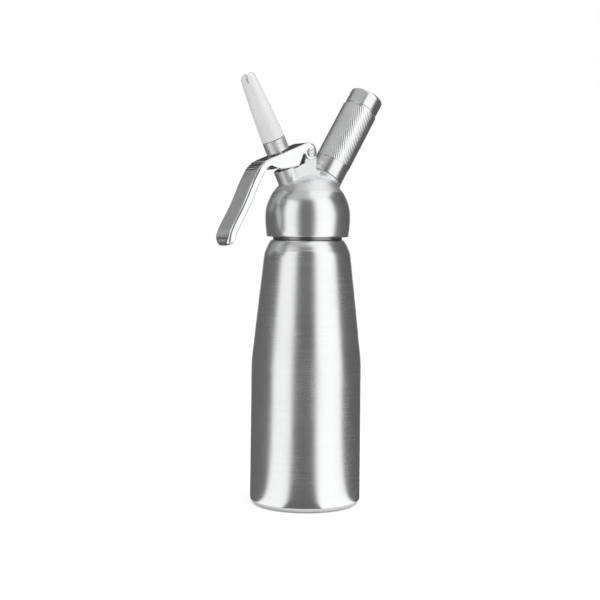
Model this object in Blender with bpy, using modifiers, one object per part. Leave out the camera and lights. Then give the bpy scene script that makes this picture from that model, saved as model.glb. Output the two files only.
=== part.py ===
"""Whipped cream dispenser: a bottle, a screwed head with a squeezed valve, and a gas charger holder.

Metres, +Z up. The origin is the centre of the bottle's flat base. The head's plane of symmetry is XZ:
the valve and its lever lean towards -X, the charger holder leans towards +X.
"""
import math

import bmesh
import bpy
from mathutils import Vector

# Shared fits
FIT_GAP = 0.0003            # clearance between pieces that touch
OVERRUN = 0.002             # how far a cut runs past the face it opens
WELD = 0.00001              # distance under which points are one point

# Bottle
BOTTLE_RADIUS = 0.041
BOTTLE_WALL = 0.0016
BASE_EDGE_RADIUS = 0.005
STRAIGHT_HEIGHT = 0.107     # top of the cylindrical wall
SHOULDER_HEIGHT = 0.0899    # from the cylindrical wall to the neck
NECK_RADIUS = 0.026
NECK_WALL = 0.003
NECK_LENGTH = 0.0141
# Height up the shoulder, and how much of the step from neck to wall is left there
SHOULDER_SHARES = ((0.02, 0.993), (0.153, 0.893), (0.287, 0.812), (0.42, 0.728), (0.554, 0.642),
                   (0.687, 0.552), (0.821, 0.465), (0.888, 0.412), (0.926, 0.33), (0.962, 0.235),
                   (0.988, 0.15), (1.0, 0.085))

# Head
NECK_REVEAL = 0.0022        # bare neck between shoulder and head
HEAD_RADIUS = 0.0319
HEAD_SKIRT_HEIGHT = 0.0154  # from the head's lower edge to the middle of its dome
HEAD_EDGE_STEP = 0.0014     # how far the lower edge lies inside the dome's radius
HEAD_EDGE_ROUND = 0.0006
CAVITY_RADIUS = 0.027
CAVITY_THROAT_RADIUS = 0.024
SKIRT_GAP = 0.0016          # between the neck and the skirt's bore
SKIRT_SHARES = ((0.35, 0.12), (0.7, 0.48))

# Head gasket
GASKET_THICKNESS = 0.0018
GASKET_WIDTH = 0.0034

# Neck thread
NECK_PITCH = 0.003
NECK_RIDGE = 0.0011
NECK_TURNS = 2.0
NECK_THREAD_RISE = 0.0042   # from the foot of the neck to the first turn

# Valve axis on the head
NOZZLE_TILT = math.radians(26.4)
BOSS_FACE_X = -0.0205
BOSS_FACE_HEIGHT = 0.0358   # above the middle of the dome
BOSS_RADIUS = 0.009
BOSS_ROOT = 0.0135          # how far the boss reaches into the dome
SPRING_WELL_RADIUS = 0.0065
SPRING_WELL_DEPTH = 0.0085
RING_POCKET_RADIUS = 0.0055
RING_POCKET_DEPTH = 0.0024
SEAT_LAND = 0.0023
SEAT_RADIUS = 0.0072
SEAT_RELIEF = 0.008

# Valve stem and what it carries
STEM_RADIUS = 0.0035
STEM_BORE_RADIUS = 0.0023
STEM_REACH = 0.02           # above the boss face
STEM_DEPTH = 0.0205         # below the boss face
STEM_PORT_RADIUS = 0.0009
BUSH_THICKNESS = 0.0023
SEAL_RING_THICKNESS = 0.0018
VALVE_SEAL_RADIUS = 0.0063
VALVE_SEAL_THICKNESS = 0.002
VALVE_NUT_RADIUS = 0.0062
VALVE_NUT_THICKNESS = 0.0034
COLLAR_RADIUS = 0.0065
COLLAR_THICKNESS = 0.0026
COLLAR_CROWN = 0.0008
COLLAR_MID_SHARE = 0.4      # of the crown's drop, halfway out

# Return spring
SPRING_WIRE_RADIUS = 0.00052
SPRING_COIL_RADIUS = 0.00525
SPRING_TURNS = 5.5
SPRING_POINTS = 9           # points in each curl

# Nozzle adapter
ADAPTER_RADIUS = 0.0087
ADAPTER_EDGE_HEIGHT = 0.0137    # lower visible edge, above the boss face
ADAPTER_LENGTH = 0.0091
ADAPTER_CONE_DROP = 0.0006
ADAPTER_HUB_RADIUS = 0.0046
ADAPTER_EDGE_ROUND = 0.0005
ADAPTER_STUD_RADIUS = 0.006
ADAPTER_STUD_LENGTH = 0.0072
ADAPTER_BORE_RADIUS = 0.0026
ADAPTER_STEM_GRIP = 0.0077      # length of stem held in the adapter

# Decorating tip
TIP_LENGTH = 0.0524
TIP_BASE_RADIUS = 0.0086
TIP_BULGE_SHARE = 0.36          # of the length, where the taper steepens
TIP_BULGE_RADIUS = 0.0079
TIP_END_RADIUS = 0.0056
TIP_END_ROUND = 0.0044
TIP_WALL = 0.0019
TIP_MOUTH_RADIUS = 0.0026
TIP_SLOTS = 4
TIP_SLOT_WIDTH = 0.0015
TIP_SLOT_DEPTH = 0.007
TIP_THREAD_GAP = 0.001
WASHER_THICKNESS = 0.0012
WASHER_HOLE_RADIUS = 0.003
TIP_PITCH = 0.002
TIP_RIDGE = 0.0007
TIP_TURNS = 2.0
TIP_THREAD_RISE = 0.0018

# Lever
PIVOT_X = -0.0039
PIVOT_HEIGHT = 0.0475       # above the middle of the dome
PIVOT_HOLE_RADIUS = 0.0025
EAR_RADIUS = 0.0055
LEVER_HALF_WIDTH = 0.011
LEVER_SHEET = 0.0015
LEVER_FACE_HEIGHT = 0.0123  # top of the plate on the valve axis, above the boss face
LEVER_PLATE_TILT = math.radians(23)
LEVER_REACH = 0.069         # from the pivot to the far end, along X
LEVER_DROP = 0.0696         # from the pivot to the far end, down
LEVER_FLANGE = 0.0056       # depth of the handle's side flanges
LEVER_TOE = 0.0062          # depth of the flange across the handle's end
STEM_SLOT_HALF_WIDTH = 0.0042
STEM_SLOT_NEAR = 0.0053
STEM_SLOT_FAR = 0.0072
# Along the lever's reach and down its drop, from the pivot
PLATE_END_SHARES = (0.036, 0.55)
HANDLE_SHARES = ((0.6, 0.147), (0.639, 0.186), (0.672, 0.243), (0.719, 0.33), (0.757, 0.414),
                 (0.795, 0.5), (0.86, 0.63), (0.917, 0.73), (0.965, 0.82), (0.99, 0.885), (1.0, 0.945))
SKIRT_EDGE_SHARES = ((0.546, 0.196), (0.518, 0.171), (0.49, 0.162), (0.452, 0.171), (0.417, 0.183),
                     (0.364, 0.19), (0.293, 0.181))
SKIRT_END_REACH = 0.0102    # where the flanges' lower edge turns up to the ear, from the pivot
SKIRT_END_DROP = 0.0103
NOTCH_ROUND = 0.0009        # fillet between that edge and the ear
NOTCH_ANGLE = math.radians(200)

# Pivot screw and nut
PIVOT_RADIUS = 0.0022
PIVOT_HEAD_RADIUS = 0.0037
PIVOT_HEAD_THICKNESS = 0.0016
PIVOT_HEAD_CROWN = 0.0005
PIVOT_FLAT_SHARE = 0.6      # of the head's radius, flat at its top
PIVOT_RECESS_WIDTH = 0.001
PIVOT_RECESS_LENGTH = 0.0042
PIVOT_RECESS_DEPTH = 0.001
PIVOT_THREAD_REACH = 0.0012
NUT_WALL = 0.0015

# Bridge between the two bosses, and the lug that carries the pivot
BRIDGE_INSET = 0.0001
BRIDGE_DROP = 0.0018        # below the valve boss face
BRIDGE_END_X = 0.0028
BRIDGE_CORNER_ROUND = 0.0012
LUG_RADIUS = 0.0046

# Charger axis on the head
HOLDER_TILT = math.radians(30.9)
HOLDER_FACE_X = 0.0148
HOLDER_FACE_HEIGHT = 0.0297     # above the middle of the dome
HOLDER_BOSS_ROOT = 0.006
NIPPLE_STUD_RADIUS = 0.006
NIPPLE_SPOT_RADIUS = 0.0095
HOLDER_WALL_DEPTH = 0.0066      # head wall along the charger axis
HOLDER_SPOT_RELIEF = 0.007

# Piercing nipple, its pin, seal, nut and check valve
NIPPLE_RADIUS = 0.009
NIPPLE_LENGTH = 0.0088
NIPPLE_BORE_RADIUS = 0.005
NIPPLE_BORE_DEPTH = 0.0035
NIPPLE_GAS_RADIUS = 0.0009
NIPPLE_STUB_RADIUS = 0.0035
NIPPLE_FLANGE_RADIUS = 0.0049
NIPPLE_FLANGE_THICKNESS = 0.0009
NIPPLE_NUT_RADIUS = 0.009
NIPPLE_NUT_THICKNESS = 0.0025
NIPPLE_PITCH = 0.002
NIPPLE_RIDGE = 0.0008
NIPPLE_TURNS = 2.5
NIPPLE_THREAD_RISE = 0.0018
SLEEVE_LENGTH = 0.0046
SLEEVE_WALL = 0.001
PIN_BASE_RADIUS = 0.004
PIN_BASE_THICKNESS = 0.0018
PIN_RADIUS = 0.0012
PIN_REACH = 0.0044          # above the charger boss face
CHARGER_SEAL_THICKNESS = 0.002
CHARGER_SEAL_HOLE_RADIUS = 0.0017

# Gas charger
CHARGER_RADIUS = 0.009
CHARGER_LENGTH = 0.0655
CHARGER_NECK_RADIUS = 0.0043
CHARGER_NECK_LENGTH = 0.0082
CHARGER_SHOULDER_LENGTH = 0.0068
CHARGER_WALL = 0.0012
CHARGER_HOLE_RADIUS = 0.0016

# Charger holder
HOLDER_RADIUS = 0.0136
HOLDER_RING_RADIUS = 0.0129
HOLDER_MOUTH_RADIUS = 0.0103
HOLDER_MOUTH_DEPTH = 0.0092
HOLDER_BAND_LENGTH = 0.0125
HOLDER_GRIP_LENGTH = 0.0475
HOLDER_GROOVE_WIDTH = 0.0014
HOLDER_GROOVE_DEPTH = 0.0014
HOLDER_RING_LENGTH = 0.0125
HOLDER_BAND_STEP = 0.0003   # the smooth band lies this much inside the grip
HOLDER_END_ROUND = 0.0018
HOLDER_VENT_WIDTH = 0.0026
HOLDER_VENT_LENGTH = 0.0044
HOLDER_VENT_TURN = math.radians(-147)

# Facets
WIDE_STEPS = 40
HOLDER_STEPS = 28
SMALL_STEPS = 20
THREAD_POINTS = 16
CORNER_POINTS = 3

# Places worked out from the sizes
neck_foot = STRAIGHT_HEIGHT + SHOULDER_HEIGHT
neck_top = neck_foot + NECK_LENGTH
head_foot = neck_foot + NECK_REVEAL
dome_middle = head_foot + HEAD_SKIRT_HEIGHT
skirt_bore_radius = NECK_RADIUS + SKIRT_GAP
gasket_seat = neck_top + GASKET_THICKNESS + 2 * FIT_GAP
seat_depth = SPRING_WELL_DEPTH + RING_POCKET_DEPTH + SEAT_LAND
stem_hole_radius = STEM_RADIUS + FIT_GAP
boss_face = Vector((BOSS_FACE_X, 0, dome_middle + BOSS_FACE_HEIGHT))
holder_face = Vector((HOLDER_FACE_X, 0, dome_middle + HOLDER_FACE_HEIGHT))
pivot = Vector((PIVOT_X, 0, dome_middle + PIVOT_HEIGHT))
nozzle_out = Vector((-math.sin(NOZZLE_TILT), 0, math.cos(NOZZLE_TILT)))
ear_inner = LEVER_HALF_WIDTH - LEVER_SHEET
adapter_top = ADAPTER_EDGE_HEIGHT + ADAPTER_LENGTH
adapter_foot = ADAPTER_EDGE_HEIGHT - ADAPTER_CONE_DROP


def clear_scene():
    """Remove what the scene holds before the model is made."""
    for item in list(bpy.data.objects):
        bpy.data.objects.remove(item, do_unlink=True)


def new_collection(name):
    collection = bpy.data.collections.new(name)
    bpy.context.scene.collection.children.link(collection)
    return collection


clear_scene()
parts = new_collection("whipped_cream_dispenser")
cutters = new_collection("cutters")


def add_material(item, colour, roughness, metallic):
    """Give a piece its own plain material."""
    material = bpy.data.materials.new(item.name + "_material")
    material.use_nodes = True
    shader = material.node_tree.nodes["Principled BSDF"]
    shader.inputs["Base Color"].default_value = (*colour, 1)
    shader.inputs["Roughness"].default_value = roughness
    shader.inputs["Metallic"].default_value = metallic
    material.diffuse_color = (*colour, 1)
    item.data.materials.clear()
    item.data.materials.append(material)


def link_new(name, mesh, collection):
    item = bpy.data.objects.new(name, mesh)
    collection.objects.link(item)
    if collection == cutters:
        item.hide_render = True
        item.display_type = "WIRE"
    return item


def turned(name, profile, steps, collection=None):
    """Turn a profile of (radius, height) points about Z; it runs down its outer side."""
    collection = collection or parts
    mesh = bpy.data.meshes.new(name)
    count = len(profile)
    edges = [(number, number + 1) for number in range(count - 1)]
    if profile[0][0] > 0:
        edges.append((count - 1, 0))
    mesh.from_pydata([(radius, 0, height) for radius, height in profile], edges, [])
    item = link_new(name, mesh, collection)
    screw = item.modifiers.new("turn", "SCREW")
    screw.axis = "Z"
    screw.angle = 2 * math.pi
    screw.steps = steps
    screw.render_steps = steps
    screw.use_merge_vertices = True
    screw.merge_threshold = WELD
    return item


def meshed(curve_item, collection):
    """Turn a curve object into a mesh object with its caps welded on."""
    bpy.context.view_layer.update()
    graph = bpy.context.evaluated_depsgraph_get()
    mesh = bpy.data.meshes.new_from_object(curve_item.evaluated_get(graph))
    shell = bmesh.new()
    shell.from_mesh(mesh)
    bmesh.ops.remove_doubles(shell, verts=shell.verts, dist=WELD)
    bmesh.ops.recalc_face_normals(shell, faces=shell.faces)
    shell.to_mesh(mesh)
    shell.free()
    name = curve_item.name
    place = curve_item.matrix_world.copy()
    bpy.data.objects.remove(curve_item, do_unlink=True)
    item = link_new(name, mesh, collection)
    item.matrix_world = place
    return item


def plate(name, outline, half_width, collection):
    """Extrude an outline of (x, z) points to both sides of the XZ plane."""
    curve = bpy.data.curves.new(name, "CURVE")
    curve.dimensions = "2D"
    curve.fill_mode = "BOTH"
    curve.extrude = half_width
    spline = curve.splines.new("POLY")
    spline.points.add(len(outline) - 1)
    for point, (x, z) in zip(spline.points, outline):
        point.co = (x, z, 0, 1)
    spline.use_cyclic_u = True
    item = bpy.data.objects.new(name, curve)
    collection.objects.link(item)
    item.rotation_euler = (math.pi / 2, 0, 0)
    return meshed(item, collection)


def helix(name, radius, pitch, turns, points_per_turn, wire, resolution, start, begin=0.0):
    """A tube that climbs about Z: the radius stays and the height grows with the angle."""
    curve = bpy.data.curves.new(name, "CURVE")
    curve.dimensions = "3D"
    curve.twist_mode = "Z_UP"
    curve.bevel_depth = wire
    curve.bevel_resolution = resolution
    curve.use_fill_caps = True
    count = round(turns * points_per_turn) + 1
    spline = curve.splines.new("POLY")
    spline.points.add(count - 1)
    places = []
    for number, point in enumerate(spline.points):
        angle = begin + 2 * math.pi * turns * number / (count - 1)
        height = start + pitch * (angle - begin) / (2 * math.pi)
        place = Vector((radius * math.cos(angle), radius * math.sin(angle), height))
        places.append(place)
        point.co = (*place, 1)
    item = bpy.data.objects.new(name, curve)
    cutters.objects.link(item)
    return item, places


def cylinder(name, radius, low, high, steps, collection):
    """A cylinder along Z between two heights."""
    mesh = bpy.data.meshes.new(name)
    shell = bmesh.new()
    bmesh.ops.create_cone(shell, cap_ends=True, segments=steps, radius1=radius, radius2=radius,
                          depth=high - low)
    bmesh.ops.translate(shell, verts=shell.verts, vec=(0, 0, (low + high) / 2))
    shell.to_mesh(mesh)
    shell.free()
    return link_new(name, mesh, collection)


def block(name, size, middle, collection):
    """A box of a given size about a middle point."""
    mesh = bpy.data.meshes.new(name)
    shell = bmesh.new()
    bmesh.ops.create_cube(shell, size=1)
    bmesh.ops.scale(shell, verts=shell.verts, vec=size)
    bmesh.ops.translate(shell, verts=shell.verts, vec=middle)
    shell.to_mesh(mesh)
    shell.free()
    return link_new(name, mesh, collection)


def combine(item, other, operation):
    boolean = item.modifiers.new(operation.lower() + "_" + other.name, "BOOLEAN")
    boolean.operation = operation
    boolean.solver = "EXACT"
    boolean.object = other


def cut(item, other):
    combine(item, other, "DIFFERENCE")


def join(item, other):
    combine(item, other, "UNION")


def smooth(item):
    """Shade the round faces smoothly and keep the real corners sharp."""
    bpy.context.view_layer.update()
    graph = bpy.context.evaluated_depsgraph_get()
    mesh = bpy.data.meshes.new_from_object(item.evaluated_get(graph))
    mesh.name = item.name
    mesh.shade_smooth()
    mesh.set_sharp_from_angle(angle=math.radians(35))
    item.modifiers.clear()
    item.data = mesh


def thread_ridge(name, radius, pitch, turns, ridge, start, begin=0.0):
    """A rounded thread ridge that is half sunk in the wall it stands on."""
    item = helix(name, radius, pitch, turns, THREAD_POINTS, ridge, 0, start, begin)[0]
    return meshed(item, cutters)


def arc(middle, radius, start, end, count):
    """Points on an arc from one angle to another, both in radians from +X towards +Z."""
    points = []
    for number in range(count + 1):
        angle = start + (end - start) * number / count
        points.append((middle[0] + radius * math.cos(angle), middle[1] + radius * math.sin(angle)))
    return points


def offset(line, distance):
    """A line moved sideways: each point goes along the mean normal of its two runs."""
    moved = []
    for number, here in enumerate(line):
        before = Vector(line[max(number - 1, 0)])
        after = Vector(line[min(number + 1, len(line) - 1)])
        run = (after - before).normalized()
        moved.append((here[0] - run.y * distance, here[1] + run.x * distance))
    return moved


def stand(name, place, tilt):
    """An empty on an axis that leans about Y; pieces on that axis are its children."""
    empty = bpy.data.objects.new(name, None)
    parts.objects.link(empty)
    empty.location = place
    empty.rotation_euler = (0, tilt, 0)
    bpy.context.view_layer.update()
    return empty


nozzle_stand = stand("nozzle_axis", boss_face, -NOZZLE_TILT)
holder_stand = stand("holder_axis", holder_face, HOLDER_TILT)
pivot_stand = stand("lever_axis", pivot, 0)


def ring(name, inner, outer, low, high, steps, collection=None):
    """A plain ring along Z."""
    profile = [(inner, low), (inner, high), (outer, high), (outer, low)]
    return turned(name, profile, steps, collection)


# Bottle: one spun shell with a flat base, a long shoulder and a threaded neck
def bottle_profile():
    shoulder = []
    for height_share, radius_share in SHOULDER_SHARES:
        radius = NECK_RADIUS + (BOTTLE_RADIUS - NECK_RADIUS) * radius_share
        shoulder.append((radius, STRAIGHT_HEIGHT + SHOULDER_HEIGHT * height_share))
    inside_base = arc((BOTTLE_RADIUS - BASE_EDGE_RADIUS, BASE_EDGE_RADIUS),
                      BASE_EDGE_RADIUS - BOTTLE_WALL, -math.pi / 2, 0, CORNER_POINTS)
    outside_base = arc((BOTTLE_RADIUS - BASE_EDGE_RADIUS, BASE_EDGE_RADIUS),
                       BASE_EDGE_RADIUS, 0, -math.pi / 2, CORNER_POINTS)
    inside = [(0, BOTTLE_WALL)] + inside_base
    inside.append((BOTTLE_RADIUS - BOTTLE_WALL, STRAIGHT_HEIGHT))
    inside += [(radius - BOTTLE_WALL, height) for radius, height in shoulder[1:-3:2]]
    inside.append((NECK_RADIUS - NECK_WALL, neck_foot - BOTTLE_WALL))
    inside.append((NECK_RADIUS - NECK_WALL, neck_top))
    outside = [(NECK_RADIUS, neck_top), (NECK_RADIUS, neck_foot)]
    outside += list(reversed(shoulder))
    outside.append((BOTTLE_RADIUS, STRAIGHT_HEIGHT))
    return inside + outside + outside_base + [(0, 0)]


def make_bottle():
    bottle = turned("bottle", bottle_profile(), WIDE_STEPS)
    start = neck_foot + NECK_THREAD_RISE
    join(bottle, thread_ridge("neck_ridge", NECK_RADIUS, NECK_PITCH, NECK_TURNS, NECK_RIDGE, start))
    smooth(bottle)
    add_material(bottle, (0.78, 0.79, 0.8), 0.3, 1)


# Head gasket: a flat rubber ring between the neck's rim and the head
def make_gasket():
    outer = NECK_RADIUS + FIT_GAP
    low = neck_top + FIT_GAP
    gasket = ring("head_gasket", outer - GASKET_WIDTH, outer, low, low + GASKET_THICKNESS, WIDE_STEPS)
    smooth(gasket)
    add_material(gasket, (0.75, 0.75, 0.72), 0.6, 0)


# Head: a dome with a threaded skirt, a valve boss, a charger boss, and a bridge with the pivot lug
def head_profile():
    profile = arc((0, dome_middle), HEAD_RADIUS, math.pi / 2, 0, 11)
    profile[0] = (0, dome_middle + HEAD_RADIUS)
    for height_share, step_share in SKIRT_SHARES:
        profile.append((HEAD_RADIUS - HEAD_EDGE_STEP * step_share,
                        dome_middle - HEAD_SKIRT_HEIGHT * height_share))
    edge = HEAD_RADIUS - HEAD_EDGE_STEP
    profile += [(edge, head_foot + HEAD_EDGE_ROUND), (edge - HEAD_EDGE_ROUND, head_foot), (0, head_foot)]
    return profile


def cavity_profile():
    throat_angle = math.acos(CAVITY_THROAT_RADIUS / CAVITY_RADIUS)
    profile = arc((0, dome_middle), CAVITY_RADIUS, math.pi / 2, throat_angle, 6)
    profile[0] = (0, dome_middle + CAVITY_RADIUS)
    profile += [(CAVITY_THROAT_RADIUS, gasket_seat), (skirt_bore_radius, gasket_seat)]
    profile += [(skirt_bore_radius, head_foot - OVERRUN), (0, head_foot - OVERRUN)]
    return profile


def valve_bore_profile():
    floor = -SPRING_WELL_DEPTH
    pocket = floor - RING_POCKET_DEPTH
    return [(0, OVERRUN), (SPRING_WELL_RADIUS, OVERRUN), (SPRING_WELL_RADIUS, floor),
            (RING_POCKET_RADIUS, floor), (RING_POCKET_RADIUS, pocket), (stem_hole_radius, pocket),
            (stem_hole_radius, -seat_depth), (SEAT_RADIUS, -seat_depth),
            (SEAT_RADIUS, -seat_depth - SEAT_RELIEF), (0, -seat_depth - SEAT_RELIEF)]


def charger_bore_profile():
    hole = NIPPLE_STUD_RADIUS + FIT_GAP
    low = -HOLDER_WALL_DEPTH - HOLDER_SPOT_RELIEF
    return [(0, OVERRUN), (hole, OVERRUN), (hole, -HOLDER_WALL_DEPTH),
            (NIPPLE_SPOT_RADIUS, -HOLDER_WALL_DEPTH), (NIPPLE_SPOT_RADIUS, low), (0, low)]


def bridge_outline():
    """Seen from the side: under the lever, round the pivot lug, and down to the charger's seat."""
    face = boss_face - nozzle_out * BRIDGE_DROP
    start = (face.x, face.z)
    slope = math.tan(NOZZLE_TILT)
    lug = arc((pivot.x, pivot.z), LUG_RADIUS, math.pi + NOZZLE_TILT, NOZZLE_TILT, 9)
    end_height = face.z + (BRIDGE_END_X - face.x) * slope
    lug_reach = LUG_RADIUS / math.cos(NOZZLE_TILT)
    lug_left = pivot.x - lug_reach
    lug_right = pivot.x + lug_reach
    left_foot = (lug_left, face.z + (lug_left - face.x) * slope)
    right_foot = (min(lug_right, BRIDGE_END_X - BRIDGE_CORNER_ROUND), 0)
    right_foot = (right_foot[0], face.z + (right_foot[0] - face.x) * slope)
    seat_height = holder_face.z + (holder_face.x - BRIDGE_END_X) * math.tan(HOLDER_TILT)
    corner = (BRIDGE_END_X, end_height - BRIDGE_CORNER_ROUND)
    return [start, left_foot] + lug + [right_foot, corner, (BRIDGE_END_X, seat_height - BRIDGE_DROP),
                                       (holder_face.x, holder_face.z - BRIDGE_DROP),
                                       (holder_face.x, dome_middle), (face.x, dome_middle)]


def make_head():
    head = turned("head", head_profile(), WIDE_STEPS)
    valve_boss = cylinder("valve_boss", BOSS_RADIUS, -BOSS_ROOT, 0, WIDE_STEPS, cutters)
    valve_boss.parent = nozzle_stand
    charger_boss = cylinder("charger_boss", HOLDER_RADIUS, -HOLDER_BOSS_ROOT, 0, HOLDER_STEPS, cutters)
    charger_boss.parent = holder_stand
    bridge = plate("bridge", bridge_outline(), BOSS_RADIUS - BRIDGE_INSET, cutters)
    for added in (bridge, valve_boss, charger_boss):
        join(head, added)
    cut(head, turned("cavity", cavity_profile(), WIDE_STEPS, cutters))
    valve_bore = turned("valve_bore", valve_bore_profile(), SMALL_STEPS, cutters)
    valve_bore.parent = nozzle_stand
    cut(head, valve_bore)
    charger_bore = turned("charger_bore", charger_bore_profile(), SMALL_STEPS, cutters)
    charger_bore.parent = holder_stand
    cut(head, charger_bore)
    pivot_bore = cylinder("pivot_bore", PIVOT_HOLE_RADIUS, -LEVER_HALF_WIDTH, LEVER_HALF_WIDTH,
                          SMALL_STEPS, cutters)
    pivot_bore.parent = pivot_stand
    pivot_bore.rotation_euler = (math.pi / 2, 0, 0)
    cut(head, pivot_bore)
    start = neck_foot + NECK_THREAD_RISE + NECK_PITCH / 2
    join(head, thread_ridge("skirt_ridge", skirt_bore_radius, NECK_PITCH, NECK_TURNS, NECK_RIDGE, start))
    smooth(head)
    add_material(head, (0.8, 0.81, 0.82), 0.28, 1)


# Valve: a hollow stem in a bush, sealed by a ring and shut by a rubber seat inside the head
def make_stem():
    floor = -seat_depth + STEM_PORT_RADIUS / 2
    profile = [(0, floor), (STEM_BORE_RADIUS, floor), (STEM_BORE_RADIUS, STEM_REACH),
               (STEM_RADIUS, STEM_REACH), (STEM_RADIUS, -STEM_DEPTH), (0, -STEM_DEPTH)]
    stem = turned("dispensing_stem", profile, SMALL_STEPS)
    stem.parent = nozzle_stand
    height = floor + STEM_PORT_RADIUS + FIT_GAP
    for number in range(2):
        port = cylinder("stem_port_%d" % number, STEM_PORT_RADIUS, -STEM_RADIUS - OVERRUN,
                        STEM_RADIUS + OVERRUN, 8, cutters)
        port.parent = nozzle_stand
        port.location = (0, 0, height)
        port.rotation_euler = (math.pi / 2, 0, number * math.pi / 2)
        cut(stem, port)
    smooth(stem)
    add_material(stem, (0.75, 0.76, 0.78), 0.3, 1)


def make_valve_rings():
    bush_low = -SPRING_WELL_DEPTH + FIT_GAP
    bush = ring("stem_bush", stem_hole_radius, SPRING_WELL_RADIUS - FIT_GAP, bush_low,
                bush_low + BUSH_THICKNESS, SMALL_STEPS)
    ring_low = -SPRING_WELL_DEPTH - RING_POCKET_DEPTH + FIT_GAP
    seal_ring = ring("stem_seal_ring", stem_hole_radius, RING_POCKET_RADIUS - FIT_GAP, ring_low,
                     ring_low + SEAL_RING_THICKNESS, SMALL_STEPS)
    seal_high = -seat_depth - FIT_GAP
    valve_seal = ring("valve_seal", stem_hole_radius, VALVE_SEAL_RADIUS,
                      seal_high - VALVE_SEAL_THICKNESS, seal_high, SMALL_STEPS)
    nut_high = seal_high - VALVE_SEAL_THICKNESS - FIT_GAP
    nut_low = nut_high - VALVE_NUT_THICKNESS
    nut = cylinder("valve_nut", VALVE_NUT_RADIUS, nut_low, nut_high, 6, parts)
    hole = cylinder("valve_nut_hole", stem_hole_radius, nut_low - OVERRUN, nut_high + OVERRUN,
                    SMALL_STEPS, cutters)
    hole.parent = nozzle_stand
    cut(nut, hole)
    for item in (bush, seal_ring, valve_seal, nut):
        item.parent = nozzle_stand
        smooth(item)
    add_material(bush, (0.7, 0.7, 0.7), 0.35, 1)
    add_material(seal_ring, (0.05, 0.05, 0.05), 0.5, 0)
    add_material(valve_seal, (0.6, 0.6, 0.58), 0.55, 0)
    add_material(nut, (0.75, 0.75, 0.76), 0.3, 1)


# Thrust collar: the crowned ring on the stem that the lever's plate pushes down
plate_foot = LEVER_FACE_HEIGHT - LEVER_SHEET / math.cos(NOZZLE_TILT - LEVER_PLATE_TILT)
collar_top = plate_foot - FIT_GAP


def make_thrust_collar():
    crown_radius = STEM_SLOT_HALF_WIDTH + FIT_GAP
    low = collar_top - COLLAR_THICKNESS
    shoulder = (crown_radius + COLLAR_RADIUS) / 2
    profile = [(stem_hole_radius, low), (stem_hole_radius, collar_top), (crown_radius, collar_top),
               (shoulder, collar_top - COLLAR_CROWN * COLLAR_MID_SHARE),
               (COLLAR_RADIUS, collar_top - COLLAR_CROWN), (COLLAR_RADIUS, low)]
    collar = turned("thrust_collar", profile, SMALL_STEPS)
    collar.parent = nozzle_stand
    smooth(collar)
    add_material(collar, (0.75, 0.75, 0.76), 0.3, 1)


# Return spring: it stands on the bush in its well and lifts the thrust collar
def make_spring():
    low = -SPRING_WELL_DEPTH + BUSH_THICKNESS + 2 * FIT_GAP + SPRING_WIRE_RADIUS
    high = collar_top - COLLAR_THICKNESS - FIT_GAP - SPRING_WIRE_RADIUS
    pitch = (high - low) / SPRING_TURNS
    item, places = helix("return_spring", SPRING_COIL_RADIUS, pitch, SPRING_TURNS, SPRING_POINTS,
                         SPRING_WIRE_RADIUS, 1, low)
    least = min((one - other).length for number, one in enumerate(places)
                for other in places[number + SPRING_POINTS // 2:]) - 2 * SPRING_WIRE_RADIUS
    print("return_spring: least gap between its curls %.2f mm" % (least * 1000))
    spring = meshed(item, parts)
    spring.parent = nozzle_stand
    smooth(spring)
    add_material(spring, (0.7, 0.7, 0.72), 0.3, 1)


# Nozzle adapter: the metal collar on the stem's end, with the thread that takes the tip
def make_adapter():
    edge = ADAPTER_EDGE_ROUND
    grip_top = adapter_foot + ADAPTER_STEM_GRIP
    stud_top = adapter_top + ADAPTER_STUD_LENGTH
    profile = [(stem_hole_radius, adapter_foot), (stem_hole_radius, grip_top),
               (ADAPTER_BORE_RADIUS, grip_top), (ADAPTER_BORE_RADIUS, stud_top),
               (ADAPTER_STUD_RADIUS, stud_top), (ADAPTER_STUD_RADIUS, adapter_top),
               (ADAPTER_RADIUS - edge, adapter_top), (ADAPTER_RADIUS, adapter_top - edge),
               (ADAPTER_RADIUS, ADAPTER_EDGE_HEIGHT), (ADAPTER_HUB_RADIUS, adapter_foot)]
    adapter = turned("nozzle_adapter", profile, SMALL_STEPS)
    adapter.parent = nozzle_stand
    ridge = thread_ridge("adapter_ridge", ADAPTER_STUD_RADIUS, TIP_PITCH, TIP_TURNS, TIP_RIDGE,
                         adapter_top + TIP_THREAD_RISE)
    ridge.parent = nozzle_stand
    join(adapter, ridge)
    smooth(adapter)
    add_material(adapter, (0.72, 0.72, 0.72), 0.4, 1)


# Decorating tip: a tapered plastic tube with slots in its round end, and a washer inside its socket
tip_foot = adapter_top + FIT_GAP
washer_low = adapter_top + ADAPTER_STUD_LENGTH + FIT_GAP
socket_top = washer_low + WASHER_THICKNESS + FIT_GAP
socket_radius = ADAPTER_STUD_RADIUS + TIP_THREAD_GAP


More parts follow.
